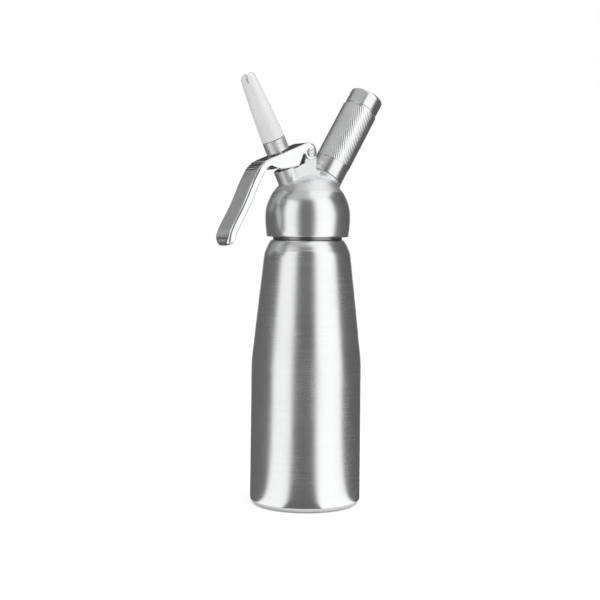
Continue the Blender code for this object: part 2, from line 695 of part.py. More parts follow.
def make_tip():
    end = tip_foot + TIP_LENGTH
    round_middle = (TIP_END_RADIUS - TIP_END_ROUND, end - TIP_END_ROUND)
    rounding = arc(round_middle, TIP_END_ROUND, math.radians(70), 0, 4)
    rounding = [point for point in rounding if point[0] > TIP_MOUTH_RADIUS]
    throat = end - 2 * TIP_END_ROUND
    profile = [(socket_radius, tip_foot), (socket_radius, socket_top),
               (socket_radius - TIP_THREAD_GAP, socket_top),
               (TIP_END_RADIUS - TIP_WALL, throat), (TIP_MOUTH_RADIUS, end)]
    profile += rounding + [(TIP_BULGE_RADIUS, tip_foot + TIP_LENGTH * TIP_BULGE_SHARE),
                           (TIP_BASE_RADIUS, tip_foot)]
    tip = turned("decorating_tip", profile, SMALL_STEPS + 4)
    tip.parent = nozzle_stand
    slot_size = (2 * ADAPTER_RADIUS, TIP_SLOT_WIDTH, TIP_SLOT_DEPTH + OVERRUN)
    for number in range(TIP_SLOTS // 2):
        slot = block("tip_slot_%d" % number, slot_size,
                     (0, 0, end - (TIP_SLOT_DEPTH - OVERRUN) / 2), cutters)
        slot.parent = nozzle_stand
        slot.rotation_euler = (0, 0, math.pi * (2 * number + 1) / TIP_SLOTS)
        cut(tip, slot)
    ridge = thread_ridge("tip_ridge", socket_radius, TIP_PITCH, TIP_TURNS, TIP_RIDGE,
                         adapter_top + TIP_THREAD_RISE + TIP_PITCH / 2)
    ridge.parent = nozzle_stand
    join(tip, ridge)
    smooth(tip)
    add_material(tip, (0.9, 0.9, 0.9), 0.35, 0)


def make_tip_washer():
    washer = ring("tip_washer", WASHER_HOLE_RADIUS, socket_radius - FIT_GAP, washer_low,
                  washer_low + WASHER_THICKNESS, SMALL_STEPS)
    washer.parent = nozzle_stand
    smooth(washer)
    add_material(washer, (0.6, 0.6, 0.58), 0.55, 0)


# Lever: one pressed channel, from the ears at the pivot over the valve and down to the handle's toe
def lever_line():
    """The outer face seen from the side: a straight plate, then the handle."""
    face = boss_face + nozzle_out * LEVER_FACE_HEIGHT
    line = []
    for share in PLATE_END_SHARES:
        x = pivot.x - LEVER_REACH * share
        line.append((x, face.z + (x - face.x) * math.tan(LEVER_PLATE_TILT)))
    for reach_share, drop_share in HANDLE_SHARES:
        line.append((pivot.x - LEVER_REACH * reach_share, pivot.z - LEVER_DROP * drop_share))
    return line


def lever_outline():
    line = lever_line()
    handle = line[3:]
    inner_edge = offset(handle, LEVER_FLANGE)
    heel = Vector(line[-1])
    run = (heel - Vector(line[-2])).normalized()
    across = Vector((-run.y, run.x))
    toe = heel + run * (LEVER_DROP * (1 - HANDLE_SHARES[-1][1]))
    foot = [tuple(toe + across * LEVER_SHEET), tuple(toe + across * LEVER_TOE),
            tuple(heel + across * LEVER_TOE)]
    skirt = [(pivot.x - LEVER_REACH * reach, pivot.z - LEVER_DROP * drop)
             for reach, drop in SKIRT_EDGE_SHARES]
    skirt.append((pivot.x - SKIRT_END_REACH, pivot.z - SKIRT_END_DROP))
    notch_middle = arc((pivot.x, pivot.z), EAR_RADIUS + NOTCH_ROUND, NOTCH_ANGLE, NOTCH_ANGLE, 1)[0]
    notch = arc(notch_middle, NOTCH_ROUND, math.radians(150), NOTCH_ANGLE - math.pi, 3)
    ear = arc((pivot.x, pivot.z), EAR_RADIUS, NOTCH_ANGLE, math.radians(395), 11)[1:]
    return line + foot + list(reversed(inner_edge))[1:] + skirt + notch + ear


def lever_hollow():
    """The space between the flanges, open below and behind the pivot."""
    inside = offset(lever_line(), LEVER_SHEET)
    run = Vector((math.cos(LEVER_PLATE_TILT), math.sin(LEVER_PLATE_TILT)))
    first = Vector(inside[0]) + run * (2 * EAR_RADIUS)
    end = Vector(inside[-1])
    run = (end - Vector(inside[-2])).normalized()
    across = Vector((-run.y, run.x))
    toe = end + run * (LEVER_DROP * (1 - HANDLE_SHARES[-1][1]) - LEVER_SHEET)
    under = toe + across * (2 * LEVER_TOE)
    low = (pivot.x - LEVER_REACH * SKIRT_EDGE_SHARES[0][0] + LEVER_FLANGE, under.y)
    right = (pivot.x + 3 * EAR_RADIUS, pivot.z - 4 * EAR_RADIUS)
    return [tuple(first)] + inside[1:] + [tuple(toe), tuple(under), low, right]


def make_lever():
    lever = plate("lever", lever_outline(), LEVER_HALF_WIDTH, parts)
    cut(lever, plate("lever_hollow", lever_hollow(), ear_inner, cutters))
    bore = cylinder("ear_bore", PIVOT_HOLE_RADIUS, -LEVER_HALF_WIDTH - OVERRUN,
                    LEVER_HALF_WIDTH + OVERRUN, SMALL_STEPS, cutters)
    bore.parent = pivot_stand
    bore.rotation_euler = (math.pi / 2, 0, 0)
    cut(lever, bore)
    cut(lever, stem_slot())
    smooth(lever)
    add_material(lever, (0.82, 0.83, 0.85), 0.12, 1)
    return lever


def stem_slot():
    """A slot with one round end through the plate, so the tilting plate clears the stem."""
    half = STEM_SLOT_HALF_WIDTH
    height = plate_foot - OVERRUN
    far = arc((-STEM_SLOT_FAR + half, 0), half, math.radians(270), math.radians(90), 6)
    near = arc((STEM_SLOT_NEAR - half, 0), half, math.radians(90), math.radians(-90), 6)
    mesh = bpy.data.meshes.new("stem_slot")
    shell = bmesh.new()
    face = shell.faces.new([shell.verts.new((x, y, height)) for x, y in far + near])
    lifted = bmesh.ops.extrude_face_region(shell, geom=[face])["geom"]
    raised = [piece for piece in lifted if isinstance(piece, bmesh.types.BMVert)]
    bmesh.ops.translate(shell, verts=raised, vec=(0, 0, LEVER_SHEET + 2 * OVERRUN))
    bmesh.ops.recalc_face_normals(shell, faces=shell.faces)
    shell.to_mesh(mesh)
    shell.free()
    slot = link_new("stem_slot", mesh, cutters)
    slot.parent = nozzle_stand
    return slot


# Pivot: a cross-slotted screw through both ears and the lug, held by a round nut
def make_pivot():
    face = LEVER_HALF_WIDTH + FIT_GAP
    crown = face + PIVOT_HEAD_THICKNESS
    rim = crown - PIVOT_HEAD_CROWN
    profile = [(0, crown), (PIVOT_HEAD_RADIUS * PIVOT_FLAT_SHARE, crown), (PIVOT_HEAD_RADIUS, rim),
               (PIVOT_HEAD_RADIUS, face), (PIVOT_RADIUS, face),
               (PIVOT_RADIUS, -face - PIVOT_THREAD_REACH), (0, -face - PIVOT_THREAD_REACH)]
    screw = turned("pivot_screw", profile, SMALL_STEPS)
    screw.parent = pivot_stand
    screw.rotation_euler = (math.pi / 2, 0, 0)
    size = (PIVOT_RECESS_LENGTH, PIVOT_RECESS_WIDTH, PIVOT_RECESS_DEPTH + OVERRUN)
    for number in range(2):
        recess = block("recess_%d" % number, size,
                       (0, 0, crown + (OVERRUN - PIVOT_RECESS_DEPTH) / 2), cutters)
        recess.parent = screw
        recess.rotation_euler = (0, 0, math.pi * (2 * number + 1) / 4)
        cut(screw, recess)
    smooth(screw)
    add_material(screw, (0.7, 0.7, 0.72), 0.3, 1)
    hole = PIVOT_RADIUS + FIT_GAP
    depth = PIVOT_THREAD_REACH + FIT_GAP
    top = face + depth + NUT_WALL
    profile = [(0, top), (PIVOT_HEAD_RADIUS * PIVOT_FLAT_SHARE, top), (PIVOT_HEAD_RADIUS, top - NUT_WALL / 2),
               (PIVOT_HEAD_RADIUS, face), (hole, face), (hole, face + depth), (0, face + depth)]
    nut = turned("pivot_nut", profile, SMALL_STEPS)
    nut.parent = pivot_stand
    nut.rotation_euler = (-math.pi / 2, 0, 0)
    smooth(nut)
    add_material(nut, (0.7, 0.7, 0.72), 0.3, 1)


# Piercing nipple: screwed through the head, it takes the holder's thread and guides the charger
stud_low = -HOLDER_WALL_DEPTH - FIT_GAP - NIPPLE_NUT_THICKNESS - FIT_GAP
flange_high = stud_low - SLEEVE_LENGTH - 2 * FIT_GAP
nipple_low = flange_high - NIPPLE_FLANGE_THICKNESS


def make_nipple():
    profile = [(NIPPLE_GAS_RADIUS, nipple_low), (NIPPLE_GAS_RADIUS, -NIPPLE_BORE_DEPTH),
               (NIPPLE_BORE_RADIUS, -NIPPLE_BORE_DEPTH), (NIPPLE_BORE_RADIUS, NIPPLE_LENGTH),
               (NIPPLE_RADIUS, NIPPLE_LENGTH), (NIPPLE_RADIUS, FIT_GAP), (NIPPLE_STUD_RADIUS, FIT_GAP),
               (NIPPLE_STUD_RADIUS, stud_low), (NIPPLE_STUB_RADIUS, stud_low),
               (NIPPLE_STUB_RADIUS, flange_high), (NIPPLE_FLANGE_RADIUS, flange_high),
               (NIPPLE_FLANGE_RADIUS, nipple_low)]
    nipple = turned("piercing_nipple", profile, SMALL_STEPS)
    nipple.parent = holder_stand
    ridge = thread_ridge("nipple_ridge", NIPPLE_RADIUS, NIPPLE_PITCH, NIPPLE_TURNS, NIPPLE_RIDGE,
                         NIPPLE_THREAD_RISE)
    ridge.parent = holder_stand
    join(nipple, ridge)
    port = cylinder("gas_port", NIPPLE_GAS_RADIUS, -NIPPLE_STUB_RADIUS - OVERRUN,
                    NIPPLE_STUB_RADIUS + OVERRUN, 8, cutters)
    port.parent = holder_stand
    port.location = (0, 0, (stud_low + flange_high) / 2)
    port.rotation_euler = (math.pi / 2, 0, 0)
    cut(nipple, port)
    smooth(nipple)
    add_material(nipple, (0.75, 0.75, 0.76), 0.3, 1)


def make_nipple_trim():
    nut_high = -HOLDER_WALL_DEPTH - FIT_GAP
    nut_low = nut_high - NIPPLE_NUT_THICKNESS
    nut = cylinder("nipple_nut", NIPPLE_NUT_RADIUS, nut_low, nut_high, 6, parts)
    hole = cylinder("nipple_nut_hole", NIPPLE_STUD_RADIUS + FIT_GAP, nut_low - OVERRUN,
                    nut_high + OVERRUN, SMALL_STEPS, cutters)
    hole.parent = holder_stand
    cut(nut, hole)
    inner = NIPPLE_STUB_RADIUS + FIT_GAP
    sleeve = ring("check_valve", inner, inner + SLEEVE_WALL, flange_high + FIT_GAP,
                  flange_high + FIT_GAP + SLEEVE_LENGTH, SMALL_STEPS)
    base_low = -NIPPLE_BORE_DEPTH + FIT_GAP
    base_high = base_low + PIN_BASE_THICKNESS
    profile = [(0, PIN_REACH), (PIN_RADIUS, PIN_REACH - 2 * PIN_RADIUS), (PIN_RADIUS, base_high),
               (PIN_BASE_RADIUS, base_high), (PIN_BASE_RADIUS, base_low), (0, base_low)]
    pin = turned("piercing_pin", profile, SMALL_STEPS)
    seal_low = base_high + FIT_GAP
    seal = ring("charger_seal", CHARGER_SEAL_HOLE_RADIUS, NIPPLE_BORE_RADIUS - FIT_GAP, seal_low,
                seal_low + CHARGER_SEAL_THICKNESS, SMALL_STEPS)
    for item in (nut, sleeve, pin, seal):
        item.parent = holder_stand
        smooth(item)
    add_material(nut, (0.75, 0.75, 0.76), 0.3, 1)
    add_material(sleeve, (0.08, 0.08, 0.08), 0.55, 0)
    add_material(pin, (0.72, 0.72, 0.74), 0.25, 1)
    add_material(seal, (0.5, 0.12, 0.08), 0.55, 0)


# Gas charger: a steel bulb, pierced at its neck, that stands on the seal inside the holder
charger_low = (-NIPPLE_BORE_DEPTH + PIN_BASE_THICKNESS + CHARGER_SEAL_THICKNESS + 3 * FIT_GAP)
charger_high = charger_low + CHARGER_LENGTH


def make_charger():
    neck_high = charger_low + CHARGER_NECK_LENGTH
    shoulder_high = neck_high + CHARGER_SHOULDER_LENGTH
    dome = arc((0, charger_high - CHARGER_RADIUS), CHARGER_RADIUS, math.pi / 2, 0, 4)
    dome[0] = (0, charger_high)
    inner_radius = CHARGER_RADIUS - CHARGER_WALL
    inner_dome = arc((0, charger_high - CHARGER_RADIUS), inner_radius, 0, math.pi / 2, 3)
    inner_dome[-1] = (0, charger_high - CHARGER_WALL)
    half = (CHARGER_RADIUS + CHARGER_NECK_RADIUS) / 2
    waist = neck_high + CHARGER_SHOULDER_LENGTH / 2
    outside = dome + [(CHARGER_RADIUS, shoulder_high), (half, waist),
                      (CHARGER_NECK_RADIUS, neck_high), (CHARGER_NECK_RADIUS, charger_low)]
    inside = [(CHARGER_HOLE_RADIUS, charger_low), (CHARGER_HOLE_RADIUS, neck_high),
              (inner_radius, shoulder_high)] + inner_dome
    charger = turned("gas_charger", outside + inside, SMALL_STEPS)
    charger.parent = holder_stand
    smooth(charger)
    add_material(charger, (0.72, 0.72, 0.74), 0.25, 1)


# Charger holder: a hollow grip with a smooth threaded band, a knurled length, a groove and an end ring
holder_low = FIT_GAP


def make_holder():
    groove_low = holder_low + HOLDER_BAND_LENGTH + HOLDER_GRIP_LENGTH
    groove_high = groove_low + HOLDER_GROOVE_WIDTH
    top = groove_high + HOLDER_RING_LENGTH
    band_top = holder_low + HOLDER_BAND_LENGTH
    band_radius = HOLDER_RADIUS - HOLDER_BAND_STEP
    mouth_top = holder_low + HOLDER_MOUTH_DEPTH
    cavity_radius = CHARGER_RADIUS + FIT_GAP
    rounding = arc((HOLDER_RING_RADIUS - HOLDER_END_ROUND, top - HOLDER_END_ROUND), HOLDER_END_ROUND,
                   math.pi / 2, 0, CORNER_POINTS)
    inner_dome = arc((0, charger_high - CHARGER_RADIUS), cavity_radius + FIT_GAP, 0, math.pi / 2, 3)
    inner_dome[-1] = (0, inner_dome[-1][1])
    outside = [(0, top)] + rounding + [
        (HOLDER_RING_RADIUS, groove_high), (HOLDER_RADIUS - HOLDER_GROOVE_DEPTH, groove_high),
        (HOLDER_RADIUS - HOLDER_GROOVE_DEPTH, groove_low), (HOLDER_RADIUS, groove_low),
        (HOLDER_RADIUS, band_top), (band_radius, band_top), (band_radius, holder_low)]
    inside = [(HOLDER_MOUTH_RADIUS, holder_low), (HOLDER_MOUTH_RADIUS, mouth_top),
              (cavity_radius + FIT_GAP, mouth_top)] + inner_dome
    holder = turned("charger_holder", outside + inside, HOLDER_STEPS)
    holder.parent = holder_stand
    ridge = thread_ridge("holder_ridge", HOLDER_MOUTH_RADIUS, NIPPLE_PITCH, NIPPLE_TURNS, NIPPLE_RIDGE,
                         NIPPLE_THREAD_RISE + NIPPLE_PITCH / 2)
    ridge.parent = holder_stand
    join(holder, ridge)
    vent = block("holder_vent", (HOLDER_RADIUS, HOLDER_VENT_WIDTH, HOLDER_VENT_LENGTH),
                 (HOLDER_RADIUS, 0, band_top - HOLDER_VENT_LENGTH / 2), cutters)
    vent.parent = holder_stand
    vent.rotation_euler = (0, 0, HOLDER_VENT_TURN)
    cut(holder, vent)
    smooth(holder)
    add_material(holder, (0.78, 0.78, 0.79), 0.35, 1)


make_bottle()
make_gasket()
make_head()
make_stem()
make_valve_rings()
make_thrust_collar()
make_spring()
make_adapter()
make_tip()
make_tip_washer()
make_lever()
make_pivot()
make_nipple()
make_nipple_trim()
make_charger()
make_holder()
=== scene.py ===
import math

import bmesh
import bpy
import numpy as np
from mathutils import Matrix, Vector


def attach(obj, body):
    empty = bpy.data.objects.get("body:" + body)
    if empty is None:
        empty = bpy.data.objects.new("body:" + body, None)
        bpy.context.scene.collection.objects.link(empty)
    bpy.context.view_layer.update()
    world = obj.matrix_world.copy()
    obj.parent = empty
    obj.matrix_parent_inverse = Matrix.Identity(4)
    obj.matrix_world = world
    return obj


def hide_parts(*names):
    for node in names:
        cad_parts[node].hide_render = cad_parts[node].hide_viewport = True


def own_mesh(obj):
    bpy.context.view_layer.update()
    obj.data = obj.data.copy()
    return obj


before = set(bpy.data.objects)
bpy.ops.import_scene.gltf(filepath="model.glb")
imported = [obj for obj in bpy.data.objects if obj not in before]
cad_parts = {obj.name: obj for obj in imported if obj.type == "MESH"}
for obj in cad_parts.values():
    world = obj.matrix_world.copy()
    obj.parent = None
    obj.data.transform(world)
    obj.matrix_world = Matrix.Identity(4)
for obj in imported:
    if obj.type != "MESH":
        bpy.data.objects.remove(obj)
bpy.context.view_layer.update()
scene = bpy.context.scene
mm = 0.001
print("frame loaded:", len(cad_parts), "nodes")

# Axes of the head: the valve leans towards -X, the gas charger towards +X
nozzlePlace = np.array((-20.5, 0.0, 250.3))
nozzleAxis = np.array((-0.444635, 0.0, 0.895712))
holderPlace = np.array((14.8, 0.0, 244.2))
holderAxis = np.array((0.513541, 0.0, 0.858065))
pivotPlace = np.array((-3.9, 0.0, 262.0))
upright = np.array((0.0, 0.0, 1.0))
domeMiddle = 214.5


# Camera: level, at the height where the head meets the bottle, with the photograph's small shift
camera = {
    "azimuth": -32.0,
    "distance": 0.95,
    "height": 0.1985,
    "frameWidth": 0.45,     # metres across the picture at the bottle's axis
    "shiftX": -0.0125,
    "shiftY": -0.1035,
    "roll": 0.62,
}


def addCamera(values):
    turn = math.radians(values["azimuth"])
    back = Vector((math.sin(turn), -math.cos(turn), 0))
    data = bpy.data.cameras.new("photoCamera")
    data.sensor_width = 36
    data.lens = 36 * values["distance"] / values["frameWidth"]
    data.shift_x = values["shiftX"]
    data.shift_y = values["shiftY"]
    data.clip_start = 0.01
    item = bpy.data.objects.new("photoCamera", data)
    scene.collection.objects.link(item)
    facing = back.to_track_quat("Z", "Y").to_matrix().to_4x4()
    place = back * values["distance"] + Vector((0, 0, values["height"]))
    item.matrix_world = Matrix.Translation(place) @ facing @ Matrix.Rotation(
        math.radians(values["roll"]), 4, "Z")
    scene.camera = item


addCamera(camera)
print("camera placed")


# Meshes from arrays, in millimetres
# Put numpy points (n, 3) and quads (m, 4) into a new smooth mesh object
def makePiece(name, points, faces, normals=None):
    mesh = bpy.data.meshes.new(name)
    mesh.vertices.add(len(points))
    mesh.vertices.foreach_set("co", (np.asarray(points) * mm).astype(np.float32).ravel())
    mesh.loops.add(faces.size)
    mesh.loops.foreach_set("vertex_index", faces.astype(np.int32).ravel())
    mesh.polygons.add(len(faces))
    mesh.polygons.foreach_set("loop_start", np.arange(0, faces.size, 4, dtype=np.int32))
    mesh.update(calc_edges=True)
    mesh.shade_smooth()
    if normals is not None:
        mesh.normals_split_custom_set_from_vertices(normals.astype(np.float32))
    item = bpy.data.objects.new(name, mesh)
    scene.collection.objects.link(item)
    return item


# Two unit directions square to an axis that lies in the XZ plane: one in that plane, one along Y
def basis(axis):
    side = np.array((axis[2], 0.0, -axis[0]))
    return side, np.array((0.0, 1.0, 0.0))


# Local (side, across, along) columns turned onto an axis that starts at a place
def placed(local, place, axis):
    side, across = basis(axis)
    return place + local[:, 0:1] * side + local[:, 1:2] * across + local[:, 2:3] * axis


# A closed outline whose corners become arcs: each arc touches both sides, with a point held beside it
def softened(corners, radii, steps=6):
    corners = np.array(corners, float)
    count = len(corners)
    line = []
    for number in range(count):
        here = corners[number]
        before = corners[number - 1] - here
        after = corners[(number + 1) % count] - here
        longBefore, longAfter = np.linalg.norm(before), np.linalg.norm(after)
        before, after = before / longBefore, after / longAfter
        bend = math.acos(max(-1, min(1, float(before @ after))))
        radius = radii[number]
        reach = radius / math.tan(bend / 2) if bend > 1e-4 else 0
        reach = min(reach, 0.45 * longBefore, 0.45 * longAfter)
        if radius <= 0 or reach < 1e-4 or bend > 3.1:
            line.append(here)
            continue
        radius = reach * math.tan(bend / 2)
        middle = here + (before + after) / np.linalg.norm(before + after) * radius / math.sin(bend / 2)
        start, end = here + before * reach - middle, here + after * reach - middle
        sweep = math.acos(max(-1, min(1, float(start @ end) / radius ** 2)))
        turnWay = np.sign(start[0] * end[1] - start[1] * end[0])
        hold = 0.12 * reach
        line.append(middle + start + before * hold)
        for step in range(steps + 1):
            angle = turnWay * sweep * step / steps
            line.append(middle + np.array((
                start[0] * math.cos(angle) - start[1] * math.sin(angle),
                start[0] * math.sin(angle) + start[1] * math.cos(angle))))
        line.append(middle + end + after * hold)
    return np.array(line)


# Radius and height of a closed outline swept round an axis: (r cos a, r sin a, h), r + swell(a, h, r)
def turnedPiece(name, outline, columns, place, axis, swell=None, sharpAngle=None):
    angles = np.arange(columns) * 2 * math.pi / columns
    radius = np.repeat(outline[:, 0:1], columns, 1)
    height = np.repeat(outline[:, 1:2], columns, 1)
    turn = np.repeat(angles[None, :], len(outline), 0)
    if swell is not None:
        radius = radius + swell(turn, height, radius)
    local = np.stack((radius * np.cos(turn), radius * np.sin(turn), height), -1).reshape(-1, 3)
    rows = len(outline)
    index = np.arange(rows * columns).reshape(rows, columns)
    below = np.roll(index, -1, 0)
    faces = np.stack((index, below, np.roll(below, -1, 1), np.roll(index, -1, 1)), -1)
    onAxis = (outline[:, 0] < 1e-6) & (np.roll(outline[:, 0], -1) < 1e-6)
    item = makePiece(name, placed(local, place, axis), faces[~onAxis].reshape(-1, 4))
    tidyMesh(item, sharpAngle)
    return item


# Weld doubled points, which closes the poles, and turn every face outwards
def tidyMesh(item, sharpAngle=None):
    shell = bmesh.new()
    shell.from_mesh(item.data)
    bmesh.ops.remove_doubles(shell, verts=shell.verts, dist=1e-7)
    bmesh.ops.dissolve_degenerate(shell, edges=shell.edges, dist=1e-8)
    bmesh.ops.recalc_face_normals(shell, faces=shell.faces)
    shell.to_mesh(item.data)
    shell.free()
    item.data.shade_smooth()
    if sharpAngle:
        item.data.set_sharp_from_angle(angle=math.radians(sharpAngle))


# Solids from distance fields: below zero is metal
# The larger of two distances, with the edge where they meet rounded to about size
def roundMax(one, other, size):
    gap = np.maximum(size - np.abs(one - other), 0) / size
    return np.maximum(one, other) + gap * gap * size * 0.25


# The smaller of two distances, with a fillet of about size where they meet
def roundMin(one, other, size):
    return -roundMax(-one, -other, size)


# Distance from points to a polyline in one plane, the nearest run winning
def lineDistance(across, up, line, closed=False):
    line = np.array(line, float)
    best = None
    ends = np.roll(line, -1, 0) if closed else line[1:]
    for start, end in zip(line[:len(ends)], ends):
        run = end - start
        share = np.clip(((across - start[0]) * run[0] + (up - start[1]) * run[1]) / (run @ run), 0, 1)
        far = (across - start[0] - share * run[0]) ** 2 + (up - start[1] - share * run[1]) ** 2
        best = far if best is None else np.minimum(best, far)
    return np.sqrt(best)


# True where a point lies inside a closed polyline, by the crossings of a ray towards +X
def insideLine(across, up, line):
    line = np.array(line, float)
    inside = np.zeros(np.broadcast(across, up).shape, bool)
    for start, end in zip(line, np.roll(line, -1, 0)):
        if start[1] == end[1]:
            continue
        crosses = (up < start[1]) != (up < end[1])
        at = start[0] + (up - start[1]) * (end[0] - start[0]) / (end[1] - start[1])
        inside ^= crosses & (across < at)
    return inside


# Signed distance to a closed outline in one plane
def outlineDistance(across, up, line):
    far = lineDistance(across, up, line, True)
    return np.where(insideLine(across, up, line), -far, far)


# A round bar: out from its axis below radius, along it from low to high, its rims rounded
def capped(out, height, radius, low, high, size=0.4):
    return roundMax(out - radius, np.maximum(low - height, height - high), size)


# Several coaxial bars together: each step has a radius and runs from low to high
def steppedBore(out, height, steps):
    return np.minimum.reduce([capped(out, height, radius, low, high) for radius, low, high in steps])


# The zero surface of a field on a grid: one point in each cell it crosses, moved onto it along its slope
def carved(name, field, low, high, cell, place=None, axis=None):
    low, high = np.array(low, float), np.array(high, float)
    count = np.ceil((high - low) / cell).astype(int) + 1
    steps = [low[k] + cell * np.arange(count[k]) for k in range(3)]
    values = field(steps[0][:, None, None], steps[1][None, :, None], steps[2][None, None, :])
    values = np.broadcast_to(values, tuple(count)).astype(np.float32)
    inside = values < 0
    corners = [(i, j, k) for i in (0, 1) for j in (0, 1) for k in (0, 1)]
    size = count - 1
    filled = np.zeros(tuple(size), np.int8)
    for i, j, k in corners:
        filled += inside[i:i + size[0], j:j + size[1], k:k + size[2]]
    cells = np.argwhere((filled > 0) & (filled < 8))
    lookup = np.full(tuple(size), -1, np.int64)
    lookup[tuple(cells.T)] = np.arange(len(cells))
    total = np.zeros((len(cells), 3))
    found = np.zeros((len(cells), 1))
    for one in corners:
        for other in corners:
            if sum(other) - sum(one) != 1 or any(o > p for o, p in zip(one, other)):
                continue
            a = values[tuple((cells + one).T)].astype(float)
            b = values[tuple((cells + other).T)].astype(float)
            cut = (a < 0) != (b < 0)
            share = np.where(cut, a / np.where(cut, a - b, 1), 0)[:, None]
            total += np.where(cut[:, None], np.array(one) + share * (np.array(other) - one), 0)
            found += cut[:, None]
    points = low + (cells + total / found) * cell
    for turn in range(3):
        value, slope = fieldSlope(field, points, cell * 0.08)
        move = -(value / np.maximum((slope ** 2).sum(1), 1e-6))[:, None] * slope
        length = np.linalg.norm(move, axis=1, keepdims=True)
        points += move * np.minimum(1, 0.45 * cell / np.maximum(length, 1e-9))
    slope = fieldSlope(field, points, cell * 0.08)[1]
    normals = slope / np.maximum(np.linalg.norm(slope, axis=1, keepdims=True), 1e-9)
    quads = []
    for direction in range(3):
        one, other = (direction + 1) % 3, (direction + 2) % 3
        first = [slice(None)] * 3
        last = [slice(None)] * 3
        first[direction], last[direction] = slice(0, -1), slice(1, None)
        lower, upper = inside[tuple(first)], inside[tuple(last)]
        crossed = np.argwhere(lower != upper)
        crossed = crossed[(crossed[:, one] > 0) & (crossed[:, other] > 0)
                          & (crossed[:, one] < size[one]) & (crossed[:, other] < size[other])]
        ways = lower[tuple(crossed.T)]
        around = []
        for back, side in ((0, 0), (1, 0), (1, 1), (0, 1)):
            spot = crossed.copy()
            spot[:, one] -= back
            spot[:, other] -= side
            around.append(lookup[tuple(spot.T)])
        quad = np.stack(around, 1)
        quads.append(np.where(ways[:, None], quad, quad[:, ::-1]))
    if place is not None:
        side, across = basis(axis)
        points = placed(points, place, axis)
        normals = normals[:, 0:1] * side + normals[:, 1:2] * across + normals[:, 2:3] * axis
    return makePiece(name, points, np.concatenate(quads), normals)


# A field's value at points and its slope by central differences
def fieldSlope(field, points, step):
    x, y, z = points.T
    slope = np.stack((field(x + step, y, z) - field(x - step, y, z),
                      field(x, y + step, z) - field(x, y - step, z),
                      field(x, y, z + step) - field(x, y, z - step)), 1) / (2 * step)
    return field(x, y, z), slope


# How far points lie along an axis in the XZ plane, and how far out from it
def along(x, y, z, place, axis):
    side = basis(axis)[0]
    height = (x - place[0]) * axis[0] + (z - place[2]) * axis[2]
    aside = (x - place[0]) * side[0] + (z - place[2]) * side[2]
    return height, np.sqrt(aside ** 2 + y ** 2)


# A ridge that climbs one pitch a turn: a rounded hump round the helix, faded in and out at its ends
def threadSwell(radius, ridge, pitch, start, turns, sign=1):
    def swell(turn, height, base):
        climb = (height - start) / pitch - turn / (2 * math.pi)
        whole = np.round(climb)
        off = (climb - whole) * pitch
        done = whole + turn / (2 * math.pi)
        fade = np.clip(np.minimum(done + 0.03, turns - done) * 8, 0, 1)
        hump = np.clip(1 - (off / (0.5 * ridge)) ** 2, 0, 1) ** 0.5
        near = np.abs(base - radius) < 0.02
        return sign * 0.5 * ridge * hump * fade * near
    return swell


# A smooth curve through points: each run is a cubic whose end slopes come from its neighbours
def smoothThrough(points, per):
    points = np.array(points, float)
    padded = np.vstack((2 * points[0] - points[1], points, 2 * points[-1] - points[-2]))
    share = np.linspace(0, 1, per, endpoint=False)[:, None]
    runs = []
    for number in range(len(points) - 1):
        a, b, c, d = padded[number:number + 4]
        runs.append(0.5 * (2 * b + (c - a) * share + (2 * a - 5 * b + 4 * c - d) * share ** 2
                           + (3 * b - a - 3 * c + d) * share ** 3))
    return np.vstack(runs + [points[-1:]])


# Materials
def newMaterial(name, baseColour, metallic, roughness):
    material = bpy.data.materials.new(name)
    material.use_nodes = True
    shader = material.node_tree.nodes["Principled BSDF"]
    shader.inputs["Base Color"].default_value = (*baseColour, 1)
    shader.inputs["Metallic"].default_value = metallic
    shader.inputs["Roughness"].default_value = roughness
    material.diffuse_color = (*baseColour, 1)
    return material, material.node_tree, shader


def vectorMath(tree, operation, *inputs):
    node = tree.nodes.new("ShaderNodeVectorMath")
    node.operation = operation
    for number, value in enumerate(inputs):
        if isinstance(value, bpy.types.NodeSocket):
            tree.links.new(value, node.inputs[number])
        else:
            node.inputs[number].default_value = value
    return node.outputs["Value" if operation == "DOT_PRODUCT" else "Vector"]


# Where a surface point lies about an axis: (aside, across, along), from Object coordinates
def axisPosition(tree, place, axis):
    source = tree.nodes.new("ShaderNodeTexCoord").outputs["Object"]
    offset = vectorMath(tree, "SUBTRACT", source, tuple(np.array(place) * mm))
    side, across = basis(np.array(axis))
    join = tree.nodes.new("ShaderNodeCombineXYZ")
    for number, direction in enumerate((side, across, axis)):
        tree.links.new(vectorMath(tree, "DOT_PRODUCT", offset, tuple(direction)), join.inputs[number])
    return join.outputs["Vector"], offset


# Noise on coordinates stretched by three factors per metre
def noise(tree, source, stretch, detail=3.0, distortion=0.0):
    node = tree.nodes.new("ShaderNodeTexNoise")
    node.inputs["Scale"].default_value = 1.0
    node.inputs["Detail"].default_value = detail
    node.inputs["Distortion"].default_value = distortion
    tree.links.new(vectorMath(tree, "MULTIPLY", source, stretch), node.inputs["Vector"])
    return node.outputs["Fac"]


def ranged(tree, value, fromLow, fromHigh, toLow, toHigh):
    node = tree.nodes.new("ShaderNodeMapRange")
    tree.links.new(value, node.inputs["Value"])
    for label, number in (("From Min", fromLow), ("From Max", fromHigh),
                          ("To Min", toLow), ("To Max", toHigh)):
        node.inputs[label].default_value = number
    return node.outputs["Result"]


def combined(tree, operation, one, other):
    node = tree.nodes.new("ShaderNodeMath")
    node.operation = operation
    for number, value in enumerate((one, other)):
        if isinstance(value, bpy.types.NodeSocket):
            tree.links.new(value, node.inputs[number])
        else:
            node.inputs[number].default_value = value
    return node.outputs["Value"]


